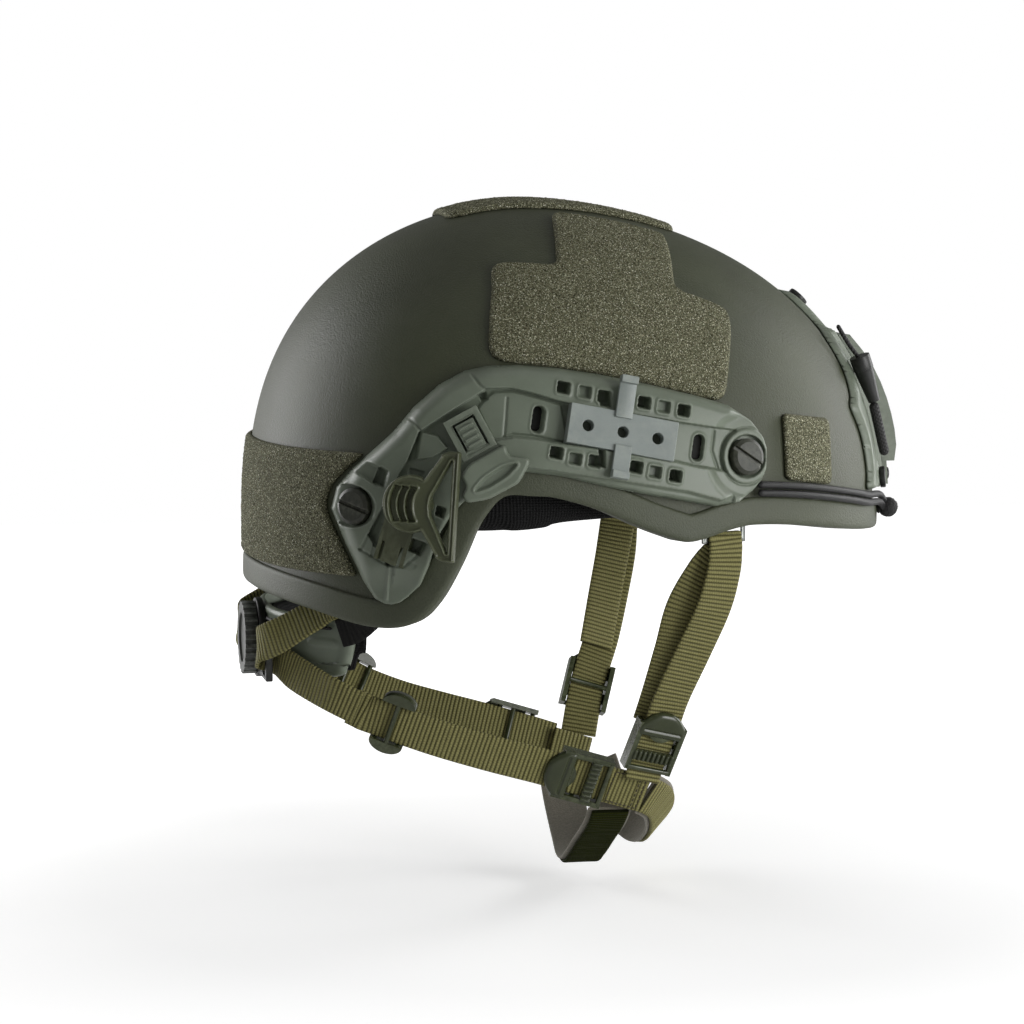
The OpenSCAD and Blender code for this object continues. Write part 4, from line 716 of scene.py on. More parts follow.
def rounded(outline, r, parts=7):
    """Each corner of an outline replaced by a quadratic curve that starts and ends r from it."""
    p = np.asarray(outline, float)
    before, after = np.roll(p, 1, 0), np.roll(p, -1, 0)
    out = []
    for a, b, c in zip(before, p, after):
        e, f = a - b, c - b
        k = min(r, 0.48 * np.linalg.norm(e)), min(r, 0.48 * np.linalg.norm(f))
        s, t = b + e / np.linalg.norm(e) * k[0], b + f / np.linalg.norm(f) * k[1]
        w = np.linspace(0, 1, parts)[:, None]
        out.append(s * (1 - w) ** 2 + 2 * b * w * (1 - w) + t * w**2)
    return np.concatenate(out)


PATCH_G, PATCH_T = 0.45, 2.0


def patch(name, chart, outline, node, seed):
    """A loop patch: height g + 0.5 + (t - 0.5) x dome over its outline, roughened into pile."""
    masked_slab(name, chart, outline, 0.62, lambda u, v, d: PATCH_G + 0.5 + (PATCH_T - 0.5) * dome(d, 1.7),
                PATCH_G - 0.2, "loop_pile", "loop", roughen=0.13, seed=seed, replaces=[node])


crown_outline = rounded([[-51, -22], [48, -22], [48, 22], [-51, 22]], 7)
patch("crown_loop_patch", lambda u, v, g: np.stack([u, v, top_z(u, v, g)], -1), crown_outline,
      "crown_patch", 3)

TILT_MM = 2.2  # millimetres of chart for one degree of tilt
side_rows = np.array([
    [56, -44, 46], [54, -48, 50], [47, -46, 53], [40.2, -43, 56], [35.7, -42, 57], [34.2, -39, 54],
    [34.15, -15, 34], [29.5, -13.5, 35.2], [25, -12, 36.5], [20.5, -10.6, 37.6], [15.5, -9, 38.5],
    [14.5, -7, 36]])
side_outline = np.concatenate([side_rows[:, [1, 0]], side_rows[::-1, [2, 0]]]) * [1, TILT_MM]
side_outline = rounded(side_outline, 5)
near_patch = [[76, 55], [100.8, 51.2], [100.4, 24], [76.2, 28]]
for side, sign in SIDES:
    patch(f"{side}_side_loop_patch",
          lambda u, v, g: on_side(at_tilt(u, np.radians(v / TILT_MM + 0.074 * u), g), sign), side_outline,
          f"{side}_side_patch", 5)
    patch(f"{side}_front_loop_patch", lambda u, v, g: on_side(side_pt(u, v, g), sign), rounded(near_patch, 3),
          f"{side}_front_patch", 7)

# The rear patch's chart is the length round the back, from the rear middle, and the height
rear_ends = [[-10, -99], [4, -105], [18, -110], [27, -108], [35, -102], [42, -95]]
angle = np.radians(np.linspace(180, 290, 800))
arc = at_plan(angle, 0 * angle + 16.0, 0.0)
arc_length = np.concatenate([[0], np.cumsum(np.linalg.norm(np.diff(arc, axis=0), axis=1))])
z = np.linspace(-9, 41, 26)
end_x = curve(rear_ends, z)
end_angle = np.pi + np.abs(np.arctan2(-side_y(end_x, z, 0), end_x - WIDEST_X) + np.pi)
end_length = np.interp(end_angle, angle, arc_length)
half = np.stack([end_length, z], 1)
rear_outline = rounded(np.concatenate([half * [-1, 1], half[::-1]]), 4, 3)
patch("rear_loop_patch",
      lambda u, v, g: at_plan(np.pi + np.sign(u) * (np.interp(np.abs(u), arc_length, angle) - np.pi), v, g),
      rear_outline, "rear_patch", 9)

# Rails: flats and grooves drawn on the shell's side as [x, z]
LIP_H, FLOOR_H = 9.0, 4.0
RAIL_UP = [
    [66, 42], [64, 48], [59.5, 53.5], [50, 59.5], [37, 63.5], [15.5, 68.7], [-5, 73], [-21, 75.5],
    [-37, 76.8], [-49, 76.5], [-58, 74.5], [-68, 69], [-78, 60], [-86, 50], [-94, 42], [-101, 35],
    [-107, 27], [-109, 18], [-104, 4], [-98, -10], [-94, -17]]
RAIL_LOW = [
    [65.5, 34], [64, 29.5], [60, 25.5], [52.5, 20.6], [42, 19.3], [14, 24.8], [-7, 29.4], [-22, 33.2],
    [-36, 35], [-45, 33.5], [-53, 30], [-60, 24.5], [-66, 18], [-70, 11], [-72.5, 4], [-74.5, -3],
    [-77.5, -10.5], [-82, -15.5], [-85, -18], [-88, -19], [-90.5, -18.8]]
CHANNEL = [
    [52.3, 49.7], [44.4, 50.8], [24.8, 54.1], [-19.4, 62.3], [-24.9, 63.7], [-32.6, 66.1], [-41, 68.2],
    [-51, 68.2], [-53.4, 66.5], [-63.6, 60.2], [-74.3, 53.1], [-77.7, 50.7], [-82.1, 39.7], [-84.7, 35.3],
    [-89, 27], [-92.4, 18.5], [-97, 9], [-90, -2.8], [-82, 9.6], [-77, 20], [-72, 31], [-67, 38], [-60, 44],
    [-49.8, 48], [-42.1, 49.2], [-32.8, 48.3], [-28.1, 47.5], [-4.9, 44], [24.1, 38.5], [31.7, 36.5],
    [42, 34.5], [48, 33.2], [50, 36], [49, 44]]
# Each flat is its height, the width of its edge and its outline
RAIL_FLATS = [
    (5.3, 0.9, [[-54.7, 60.1], [-51, 64.5], [-48, 66.5], [-41, 66.8], [-32, 64.5], [-22, 61.5], [-20, 46.8],
                [-33, 49.8], [-42, 50.6], [-49.2, 47.7]]),
    (6.6, 0.9, [[-77, 50.9], [-70.8, 49.5], [-66.9, 44.6], [-72.9, 40.6], [-78.8, 39.6]]),
    (5.2, 0.9, [[-97.2, 38.7], [-89.4, 34.8], [-93.9, 29.1], [-101.6, 34.1]]),
    (2.6, 0.9, [[-92, 36.5], [-89.4, 34.8], [-91, 28.5], [-94.5, 30]]),
    (1.6, 0.9, [[-54, 65.3], [-50.9, 66.5], [-50.7, 63.8], [-52.6, 63]]),
    (4.6, 0.9, [[-91.7, 13.4], [-84.9, 9.4], [-87.8, 2.1], [-95.4, 4.9]]),
    (7.2, 0.8, [[-95.4, 4.9], [-87.8, 2.1], [-90, -0.8], [-96.8, 0.4]]),
    (3.4, 0.8, [[-81.3, 8.8], [-76.1, 7], [-78.4, 2.2], [-82.7, 4]]),
    (8.6, 0.8, [[-82.8, 0], [-79.8, -1.5], [-81.7, -5.1], [-84.6, -3.7]]),
    (2.6, 0.8, [[-80.7, 36.2], [-75.6, 34.8], [-77.1, 32.8], [-81.5, 33.5]]),
    (2.6, 0.8, [[-71.8, 22], [-68.9, 20.9], [-70, 17.3], [-72.6, 18.4]]),
    (2.0, 0.8, [[-6.8, 67.1], [-1.8, 66.2], [-1.8, 60.4], [-6.4, 61.2]]),
    (2.0, 0.8, [[-8, 44.6], [-5.7, 44.2], [-5.7, 37], [-8, 37.4]]),
]
# Each groove is its depth, its half width and its line
RAIL_GROOVES = [
    (0.7, 0.8, [[-43.2, 64.3], [-45.1, 49.2]]),
    (0.8, 0.9, [[-56.4, 73.3], [-54, 69.5], [-51.8, 68]]),
    (0.8, 0.9, [[-81.4, 56.8], [-79.4, 54.5], [-77.3, 51.5]]),
    (1.0, 0.8, [[-77, 50.9], [-81.7, 39.5]]),
    (0.9, 0.8, [[-92.4, 18.5], [-100, 2.9]]),
    (0.9, 0.8, [[-82, 9.6], [-90, -2.8]]),
    (-0.7, 0.9, [[-89.6, -2.5], [-90.4, -16.8]]),
    (0.8, 0.7, [[-100.3, 3.2], [-90.4, -2.5], [-84.6, -3], [-76.5, 5.3], [-73.5, 13.3]]),
    (1.6, 0.7, [[-14.1, 31], [-9.4, 30]]), (1.6, 0.7, [[2.6, 27.5], [7.4, 26.6]]),
    (1.6, 0.7, [[19, 24.1], [23.2, 23.4]]),
    (0.8, 0.8, [[42.4, 49.5], [41, 42], [43.5, 34.5]]),
]
# Windows as [x, z, height of the bottom]
WINDOWS = [
    [-21, 68.4, 1.0], [-12.5, 66.6, 5.6], [-4.7, 64.7, 1.0], [11.9, 62, 1.0], [20.1, 60.2, 5.6],
    [28.5, 58.5, 1.0], [-25.4, 43.1, 1.0], [-17.9, 40.6, 5.6], [-9.9, 39.5, 1.0], [7.1, 36.8, 1.0],
    [15, 34.7, 5.6], [23.6, 32.8, 1.0]]
LIP_FOLD = [[-38.2, 37.9], [-27.6, 36.4], [-6, 32.7], [2.5, 31.3], [29, 26.6], [43.5, 22.4], [56, 26.4]]
LIP_ARC = [
    [-49.8, 48], [-55.2, 46], [-59.8, 43.3], [-63.3, 39.8], [-64.5, 35.5], [-63.1, 32.4], [-61.6, 31.6],
    [-60, 34.8], [-56.9, 37.9], [-52.3, 41.8], [-46.1, 44.9]]
SLOTS = [[-31.4, 55.9], [35, 43.2]]
FRONT_BOLT, REAR_BOLT = [56.5, 39.1], [-103.2, 20.3]
LEAF_AT, CLIP_AT = (-50.5, 34.5), (-80.3, 23)
RAIL_TIP = [[-92, -17], [-86, -16]]
RAIL_ROLL = math.radians(-11)


def leaning(x, z, cx, cz, roll):
    """Coordinates along and across a direction at roll, from a middle."""
    dx, dz = x - cx, z - cz
    return dx * math.cos(roll) + dz * math.sin(roll), dz * math.cos(roll) - dx * math.sin(roll)


def box_distance(u, v, half_u, half_v, r):
    """Signed distance inside a rounded rectangle: r - |max(|p| - half + r, 0)| - min(max(...), 0)."""
    a, b = np.abs(u) - half_u + r, np.abs(v) - half_v + r
    return r - np.hypot(np.maximum(a, 0), np.maximum(b, 0)) - np.minimum(np.maximum(a, b), 0)


def rail_height(x, z, d):
    """Heights over the rail: rounded lips, then the channel, flats, grooves, windows, slots and bolt seats,
    each blended in over the width of its edge by a smooth step."""
    up_d, low_d = line_distance(RAIL_UP, x, z), line_distance(RAIL_LOW, x, z)
    upper = 2.6 + 5.6 * dome(up_d, 4.2) - 0.05 * np.clip(up_d, 0, 12)
    lower = 4.0 + 5.0 * dome(low_d, 2.4)
    below_fold = ease((line_distance(LIP_FOLD, x, z) + 0.4) / 1.6) * (low_d < 6.0) * (x > -38) * (x < 50)
    lower = lower - 2.4 * below_fold * (z < np.interp(x, *np.transpose(LIP_FOLD)))
    h = np.where(up_d < low_d, upper, lower)
    front_r = np.hypot(x - FRONT_BOLT[0], z - FRONT_BOLT[1])
    rear_r = np.hypot(x - REAR_BOLT[0], z - REAR_BOLT[1])
    h = mix(h, np.minimum(h, 5.4), ease((20 - front_r) / 5))
    h = mix(np.minimum(h, 5.0), h, ease((line_distance(RAIL_TIP, x, z) - 3) / 12))
    h = mix(h, FLOOR_H, ease(outline_distance(CHANNEL, x, z) / 0.6 + 0.5))
    h = mix(h, 8.4, ease(outline_distance(LIP_ARC, x, z) / 0.6 + 0.5))
    for height, width, outline in RAIL_FLATS:
        h = mix(h, height, ease(outline_distance(outline, x, z) / (0.7 * width) + 0.5))
    for depth, width, line in RAIL_GROOVES:
        h = h - depth * ease(1 - line_distance(line, x, z) / width)
    for cx, cz, bottom in WINDOWS:
        inside = box_distance(*leaning(x, z, cx, cz, RAIL_ROLL), 2.3, 2.15, 0.5)
        h = mix(h + 0.45 * ease((inside + 1.5) / 0.5), bottom, ease(inside / 0.7 + 0.5))
    for cx, cz in SLOTS:
        inside = box_distance(*leaning(x, z, cx, cz, RAIL_ROLL), 2.15, 5.2, 2.1)
        h = h + 0.35 * ease((inside + 1.4) / 0.5) * (inside < 0.3)
        h = mix(h, 0.9, ease(inside / 0.8 + 0.5))
    h = mix(h, 6.0, ease((11.2 - front_r) / 0.6)) - 0.9 * ease(1 - np.abs(front_r - 11.5) / 0.6)
    h = mix(h, 3.2, ease((8.5 - front_r) / 0.6 + 0.5))
    h = mix(h, np.maximum(h, 6.2), ease((10.9 - rear_r) / 0.8))
    h = mix(h, 3.2, ease((8.4 - rear_r) / 0.6 + 0.5))
    return np.maximum(h - 1.1 * (1 - dome(d, 1.1)), 0.9)


rail_outline = np.concatenate([RAIL_UP, RAIL_LOW[::-1]])


def rail_back(x, z, d):
    """The rail's back stands 0.4 off the shell, and 2.1 off it where it lies over the edge trim."""
    return 0.4 + 1.7 * ease((15 - line_distance(RIM, x, z)) / 3)


for side, sign in SIDES:
    masked_slab(f"{side}_rail_body", lambda u, v, g: on_side(side_pt(u, v, g), sign), rail_outline, 0.43,
                lambda x, z, d: np.maximum(rail_height(x, z, d), rail_back(x, z, d) + 0.4), rail_back,
                "rail_polymer", "rail", replaces=[f"{side}_rail"])


def local_chart(base, i, j, n, sign=1.0):
    """Chart on a flat place: base + u i + v j + g n."""
    return lambda u, v, g: on_side(base + u[..., None] * i + v[..., None] * j + g[..., None] * n, sign)


# Near-black sheets in the floor slots: painted shade standing for the shell seen in shade through them
for side, sign in SIDES:
    for k, (cx, cz) in enumerate(SLOTS):
        place = side_frame(cx, cz, 1.0, -11, 1.0)
        slot_line = rounded([[-1.9, -4.9], [1.9, -4.9], [1.9, 4.9], [-1.9, 4.9]], 1.8)
        masked_slab(f"{side}_slot_painted_shade_{k + 1}", local_chart(*place, sign), slot_line, 0.5,
                    lambda u, v, d: 0 * u + 0.5, -0.4, "painted_shade_pocket", "rail")

# Leaf-shaped clips over the lower lip
LEAF = [
    [-15.6, 0.1], [-11.7, 2.4], [-11.4, 7.2], [-6.5, 9.4], [6.3, 8.8], [10.2, 8.4], [8.9, 3.7], [15.1, -1.1],
    [14.4, -3.2], [6.6, -7.6], [-7, -6.6], [-15.1, -3.2]]
LEAF_CUT = [[-10.5, -0.9], [-4, 1.2], [4, 1.4], [10.5, -0.6], [4, -2.4], [-4, -2.4]]


def leaf_height(u, v, d):
    """A rounded plate with a lens-shaped cut that has a raised lip round it."""
    cut = outline_distance(rounded(LEAF_CUT, 2), u, v)
    h = 1.0 + 1.6 * dome(d, 1.3) + 0.5 * ease(1 - np.abs(cut + 0.9) / 0.8)
    return h - 1.6 * ease(cut / 0.7 + 0.5)


for side, sign in SIDES:
    place = side_frame(*LEAF_AT, LIP_H + 0.3, 31, LIP_H + 2.9)
    masked_slab(f"{side}_edge_clip_leaf", local_chart(*place, sign), rounded(LEAF, 1.8), 0.4, leaf_height, 0,
                "rail_polymer", "rail", replaces=[f"{side}_edge_clip"])

# Swivel clips: a disc with three curved slots, a waist and a triangular loop
round_part = np.radians(np.linspace(63.7, 296.3, 56))
CLIP = np.concatenate([
    np.stack([11.6 * np.cos(round_part) - 3.7, 11.6 * np.sin(round_part)], 1),
    rounded([[7.8, -20.6], [10.8, -22], [15.7, -22], [15.7, 22], [10.8, 22], [7.8, 20.6]], 0.9)])
CLIP_HOLES = [rounded([[4.4, 0], [4.9, -3.6], [12.7, -18.6], [12.7, 18.6], [4.9, 3.6]], 0.7)]
for x in (-12.2, -9, -5.6):
    bow = np.radians(np.linspace(-30, 30, 15))
    outer = np.stack([x + 14 - 13.9 * np.cos(bow), 13.9 * np.sin(bow)], 1)
    inner = np.stack([x + 14.4 - 12.1 * np.cos(bow[::-1] * 1.1), 12.1 * np.sin(bow[::-1] * 1.1)], 1)
    CLIP_HOLES.append(np.concatenate([outer, inner]))


def clip_height(u, v, d):
    """A rounded edge, low in the middle of the disc, with a ridge 1.2 wide round every edge."""
    return 0.9 + 1.5 * dome(d, 0.9) + 0.8 * ease(1 - np.abs(d - 0.7) / 0.9)


for side, sign in SIDES:
    place = side_frame(*CLIP_AT, 12.6, -4, 15.8)
    masked_slab(f"{side}_clip_loop", local_chart(*place, sign), CLIP, 0.28, clip_height, 0, "clip_polymer",
                "dark_plastic", f"{side}_clip", holes=CLIP_HOLES, replaces=[f"{side}_swivel_clip"])

# Shroud on the brow
SHROUD_EDGE = np.array([
    [18.5, 55], [26, 51.5], [42, 52], [55, 56], [58, 50], [68, 40], [84, 31], [87, 17], [97, 14], [102, 7]])
shroud_outline = rounded(np.concatenate([SHROUD_EDGE[:, ::-1], SHROUD_EDGE[::-1, ::-1] * [-1, 1]]), 4)
SHROUD_SCREWS = [[0, 95], [34, 22], [-34, 22]]
SHROUD_G = 3.45


def shroud_chart(y, z, g):
    """Front point at y and z, with a flat low middle: no x under that of y = 0 less 0.6."""
    x = front_x(y, z, g)
    flat = (np.abs(y) < 25) & (z < 86) & (g > 2)
    return np.stack([np.where(flat, np.maximum(x, front_x(0 * y, z, SHROUD_G) - 0.6), x), y, z], -1)


def shroud_height(y, z, d):
    """A rounded edge, a raised border, a groove inside it and a step round each screw."""
    h = 1.2 + (SHROUD_G - 1.2) * dome(d, 1.6) - 0.7 * ease((d - 4.2) / 0.8) * (np.abs(y) > 24)
    for sy, sz in SHROUD_SCREWS:
        r = np.hypot(y - sy, z - sz)
        h = np.where(r < 7, SHROUD_G - 0.9 * ease(1 - np.abs(r - 5.9) / 0.7), h)
    return h


masked_slab("shroud_mount_plate", shroud_chart, shroud_outline, 0.7, shroud_height, 0.45, "rail_polymer",
            "rail", replaces=["shroud_plate"])

# End balls of the bungees, and the lanyards with their sleeves
BALL_R = 4.3
LANYARD = [[115.5, -37, 88], [120.5, -37, 80], [124.2, -37, 75.2], [125.6, -37, 74]]
SLEEVE = [[132.1, -36, 54.6], [135, -35, 44], [138.6, -33, 31.5]]
polar = np.linspace(0.04, np.pi - 0.04, 24)[:, None]
plan = np.linspace(0, 2 * np.pi, 36, endpoint=False)[None, :]
sphere = np.stack([np.cos(polar) + 0 * plan, np.sin(polar) * np.cos(plan), np.sin(polar) * np.sin(plan)], -1)
grain = 1 + 0.02 * np.random.default_rng(11).standard_normal((24, 36))
sphere = BALL + BALL_R * sphere * grain[..., None]
for side, sign in SIDES:
    tips = on_side([BALL + [BALL_R, 0, 0], BALL - [BALL_R, 0, 0]], sign)
    points, faces = closed_skin(on_side(sphere, sign), *tips)
    make(f"{side}_bungee_ball", points, faces, "rough_rubber", "bungee", crease=0)
    collar = on_side([BALL + [-5.6, 0.6, 0], BALL + [-2.4, 0.2, 0]], sign)
    round_cord(f"{side}_bungee_collar", collar, 3.2, "black_polymer", "bungee", sides=24)
    round_cord(f"{side}_lanyard_hook", on_side(LANYARD, sign), 0.95, "braid_cover", "braid", step=0.5,
               replaces=[f"{side}_lanyard"])
    round_cord(f"{side}_lanyard_sleeve", on_side(SLEEVE, sign), 2.15, "braid_cover", "braid", step=0.5,
               sides=24)


# Straps
def ribbon(name, route, looks, width, thick, material, slot, body="helmet", lift=0.0, rib=0.1, step=0.36,
           **extra):
    """Webbing: a rounded flat section with woven ribs, its thickness swelling by rib x |sin(pi s / 1.8)|.
    Its way across and its outward way are cross products of its run with the way that its face looks."""
    path, face, s = even_path(smooth_path(route), step, smooth_path(looks))
    run = unit(np.gradient(path, axis=0))
    across = unit(np.cross(run, face))
    out = unit(np.cross(across, run))
    u = np.array([-1, -0.985, -0.93, -0.8, -0.6, -0.4, -0.2, 0, 0.2, 0.4, 0.6, 0.8, 0.93, 0.985, 1])
    edge = np.array([0.25, 0.62, 0.92, 1, 0.97, 0.95, 0.94, 0.94, 0.94, 0.95, 0.97, 1, 0.92, 0.62, 0.25])
    u, edge = np.concatenate([u, u[::-1]]), np.concatenate([edge, -edge[::-1]])
    bump = rib * (np.abs(np.sin(np.pi * s / 1.8)) - 0.5)
    bump = bump + 0.04 * np.random.default_rng(len(name)).standard_normal(len(s))
    high = lift + edge[None, :] * thick / 2 + np.sign(edge)[None, :] * bump[:, None] * (np.abs(edge) > 0.5)
    rings = path[:, None] + across[:, None] * (u * width / 2)[None, :, None] + out[:, None] * high[..., None]
    length = np.concatenate([(u[:15] + 1) * width / 2, width + (1 - u[15:]) * width / 2, [2 * width]])
    return tube(name, rings, material, slot, body, length, s, crease=60, **extra)


WEB_W, WEB_T = 16.0, 1.6
RIGHT_FRONT = [
    [27.5, -67.5, -76], [29.8, -73, -64], [33.4, -81, -44], [36.5, -87.2, -26], [43.2, -91.6, -11],
    [50, -93.6, -1], [50.3, -94.1, 4.5], [50.8, -95.5, 6.3], [51.2, -96.9, 4.5], [51.4, -97, -1],
    [50.6, -96.4, -10], [47.4, -92.9, -25], [40.6, -84.6, -45], [34, -76.6, -64], [30.6, -72, -77],
    [28, -69.1, -86], [25.4, -66.8, -94], [23.6, -66.2, -101]]
RIGHT_FRONT_LOOKS = [
    [0.1, 1, -0.4], [0.1, 1, -0.4], [0.1, 1, -0.3], [0, 1, -0.2], [-0.2, 1, -0.1], [-0.34, 0.94, 0],
    [-0.3, 0.8, 0.5], [0, 0, 1], [0.3, -0.8, 0.5], [0.34, -0.94, 0], [0.3, -1, -0.1], [0.2, -1, -0.3],
    [0.1, -1, -0.4], [0.1, -1, -0.4], *[[0.1, -1, -0.3]] * 3, [0.15, -1, -0.25]]
LEFT_FRONT = [
    [35, 76, -64], [40.5, 84, -44], [45.5, 89.5, -24], [48.5, 92.8, -11], [50.1, 93.7, -1],
    [50.3, 94.1, 4.5], [50.8, 95.5, 6.3], [51.2, 96.9, 4.5], [51.4, 97, -1], [51, 96.6, -10],
    [49.5, 94, -24], [45, 89, -42], [39, 81, -60], [33.5, 75.5, -73], [30, 72, -82], [27, 67.9, -92.2],
    [24.4, 64.6, -103]]
LEFT_FRONT_LOOKS = [
    [0, -1, -0.4], [0, -1, -0.3], [0, -1, -0.2], [-0.2, -1, -0.1], [-0.34, -0.94, 0], [-0.3, -0.8, 0.5],
    [0, 0, 1], [0.3, 0.8, 0.5], [0.34, 0.94, 0], [0.3, 1, -0.1], [0.1, 1, -0.3], [0, 1, -0.4], [0, 1, -0.4],
    [0, 1, -0.3], [0, 1, -0.3], [0.1, 1, -0.3], [0.15, 1, -0.25]]
RIGHT_REAR = [
    [-98, -58.7, -66.6], [-94.5, -59.7, -68.3], [-91.5, -60.5, -69.8], [-84, -62.8, -72.4],
    [-74, -65.2, -76.2], [-60, -67.4, -81], [-40, -68.4, -87.2], [-20, -67.9, -93], [-8, -67.4, -96.8],
    [3, -67.2, -100], [9.4, -67, -101.6]]
LEFT_REAR = [
    [-98, 58.7, -64.6], [-94.5, 59.7, -66.5], [-91.5, 60.5, -68], [-84, 62.6, -72], [-74, 64.6, -77.4],
    [-58, 66, -84], [-40, 65.6, -89.5], [-24, 64.8, -94], [-12, 64.6, -97.6], [2, 65, -102],
    [12.6, 65.4, -105.6]]
RIGHT_LOOK, LEFT_LOOK = [0, -1, -0.25], [0, 1, -0.25]
NAPE_STRAP = [
    [-89, -79.9, -2], [-89.6, -79.1, -9], [-94, -73.5, -15], [-100.5, -65, -19.5], [-107, -56.5, -24],
    [-111.9, -52.2, -28.6], [-118.5, -49.5, -33], [-124.5, -46.5, -37], [-130.5, -42.5, -40.6],
    [-133.6, -37, -43], [-133, -31.6, -46.4], [-129.6, -28.4, -48], [-126, -31.6, -49.4], [-124, -38, -51],
    [-119.4, -46, -54.4], [-112.2, -55.4, -58.6], [-105.6, -61.6, -62], [-96.4, -65.4, -66.6]]
NAPE_LOOKS = [
    [-0.69, -0.73, 0], [-0.69, -0.73, 0], [-0.7, -0.7, 0], [-0.78, -0.62, 0], [-0.84, -0.5, 0.1],
    [-0.84, -0.5, 0.2], [-0.8, -0.5, 0.2], [-0.8, -0.55, 0.1], [-0.8, -0.6, 0], [-1, -0.1, 0],
    [-0.9, 0.5, 0], [0, 1, 0], [0.9, 0.5, 0], [0.9, 0.5, 0], [0.6, 0.8, 0], [0.6, 0.8, 0.05],
    [0.45, 0.87, 0.15], [0.3, 0.92, 0.25]]

for name, route, looks in (
        ("right_front", RIGHT_FRONT, RIGHT_FRONT_LOOKS), ("left_front", LEFT_FRONT, LEFT_FRONT_LOOKS),
        ("right_rear", RIGHT_REAR, [RIGHT_LOOK] * len(RIGHT_REAR)),
        ("left_rear", LEFT_REAR, [LEFT_LOOK] * len(LEFT_REAR))):
    ribbon(f"{name}_webbing", route, looks, WEB_W, WEB_T, "webbing_cloth", "webbing",
           replaces=[f"{name}_strap"])
for side, sign in SIDES:
    strap = ribbon(f"{side}_nape_webbing", on_side(NAPE_STRAP, sign), on_side(NAPE_LOOKS, sign), WEB_W - 1,
                   WEB_T, "webbing_cloth", "webbing", None, replaces=[f"{side}_nape_strap"])
    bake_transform(strap)

FRONT_BAND = [
    [27.6, -61, -108.4], [31.8, -57.2, -110.8], [35.5, -50, -114], [39.5, -37, -119.8], [42.6, -20, -127.4],
    [43.6, -2, -134.2], [42, 16, -136], [38.3, 32, -132], [33.8, 46, -123.8], [31.6, 55.6, -115.4]]
FRONT_BAND_LOOKS = [
    [0.2, -1, -0.25], [0.42, -0.85, -0.3], [0.56, -0.7, -0.4], [0.66, -0.5, -0.52], [0.7, -0.25, -0.62],
    [0.7, 0, -0.7], [0.7, 0.25, -0.64], [0.64, 0.5, -0.52], [0.5, 0.75, -0.4], [0.3, 0.92, -0.25]]
UNDER_BAND = [
    [11.8, -59.2, -114.8], [11.7, -54, -119.6], [11.6, -45, -125.5], [11.4, -30, -133.5], [11.3, -15, -141.8],
    [11.3, -3, -147.2], [11.6, 8, -147.4], [12.4, 20, -143.2], [13, 33, -137], [13.4, 45, -129.6],
    [13.6, 54.4, -121]]
UNDER_BAND_LOOKS = [
    [0, -0.9, -0.4], [0, -0.7, -0.7], [0, -0.5, -0.85], [0, -0.47, -0.88], [0, -0.42, -0.9], [0, -0.12, -1],
    [0, 0.22, -1], [0, 0.42, -0.9], [0, 0.5, -0.85], [0, 0.64, -0.75], [0, 0.8, -0.6]]
# The under-chin band takes the darker webbing copy: painted shade on a strap that faces down
for kind, route, looks, cloth, slot, lining in (
        ("front_chin", FRONT_BAND, FRONT_BAND_LOOKS, "webbing_cloth", "webbing", ["chin_linings"]),
        ("under_chin", UNDER_BAND, UNDER_BAND_LOOKS, "dark_webbing_cloth", "dark_webbing", [])):
    ribbon(f"{kind}_webbing", route, looks, WEB_W, WEB_T, cloth, slot, replaces=[f"{kind}_band"])
    ribbon(f"{kind}_lining", route, looks, 19, 1.3, "suede_lining", "suede", lift=-1.55, rib=0.0, step=0.9,
           replaces=lining)


def on_strap(p, run, look):
    """Place on a strap: base, way across, way along and outward way."""
    p, run, look = (np.asarray(q, float) for q in (p, run, look))
    t = unit(run)
    n = unit(look - t * (look @ t))
    return p, np.cross(t, n), t, n


def strips(name, places, half_l, half_w, thick, material, slot):
    """Many small rounded bars in one mesh, each lying at a place along its own direction."""
    turn = np.linspace(0, 2 * np.pi, 6, endpoint=False)[:, None]
    s = (np.array([-1, -0.7, 0.7, 1]) * half_l)[:, None, None]
    size = np.array([0.35, 1, 1, 0.35])[:, None, None]
    cos, sin = np.cos(turn), np.sin(turn)
    rings = [p + s * i + size * (half_w * cos * j + thick * sin * n) for p, i, j, n in places]
    starts = range(0, 24 * len(rings), 24)
    sides = np.concatenate([grid_faces(4, 6, False, True, k)[0] for k in starts])
    caps = np.concatenate([np.stack([np.arange(6)[::-1] + k, np.arange(6) + 18 + k]) for k in starts])
    return make(name, np.concatenate(rings), [sides, caps], material, slot, crease=0)


# Sewn junctions of the chin bands, each with its seams as [from, to] in millimetres across and along
SEAMS = np.array([
    [[-6.6, -7.2], [6.6, -7.2]], [[6.6, 7], [-6.6, 7]], [[-6.6, 4.6], [6.6, 4.6]], [[-6.7, 7], [-6.7, -7.2]],
    [[6.7, -7.2], [6.7, 7]]])
for side, place in (("right", on_strap([17.2, -62.8, -104.9], [0.93, 0.12, -0.3], [0.15, -1, -0.25])),
                    ("left", on_strap([19.5, 61.2, -109.4], [0.93, 0.02, -0.3], [0.15, 1, -0.25]))):
    p, i, j, n = place
    ribbon(f"{side}_chin_junction", [p - 9 * j, p - 3 * j, p + 3 * j, p + 9 * j], [n] * 4, WEB_W, 2.6,
           "webbing_cloth", "webbing", replaces=["chin_junctions"] if side == "right" else [])
    stitches = []
    for a, b in SEAMS:
        count, way = int(np.linalg.norm(b - a) / 2.0), unit(b - a)
        for k in range(count):
            q = a + (b - a) * (k + 0.5) / count
            at = p + i * q[0] + j * q[1] + n * 1.4
            stitches.append((at, i * way[0] + j * way[1], j * way[0] - i * way[1], n))
    strips(f"{side}_junction_stitches", stitches, 0.8, 0.28, 0.2, "thread_finish", "webbing")

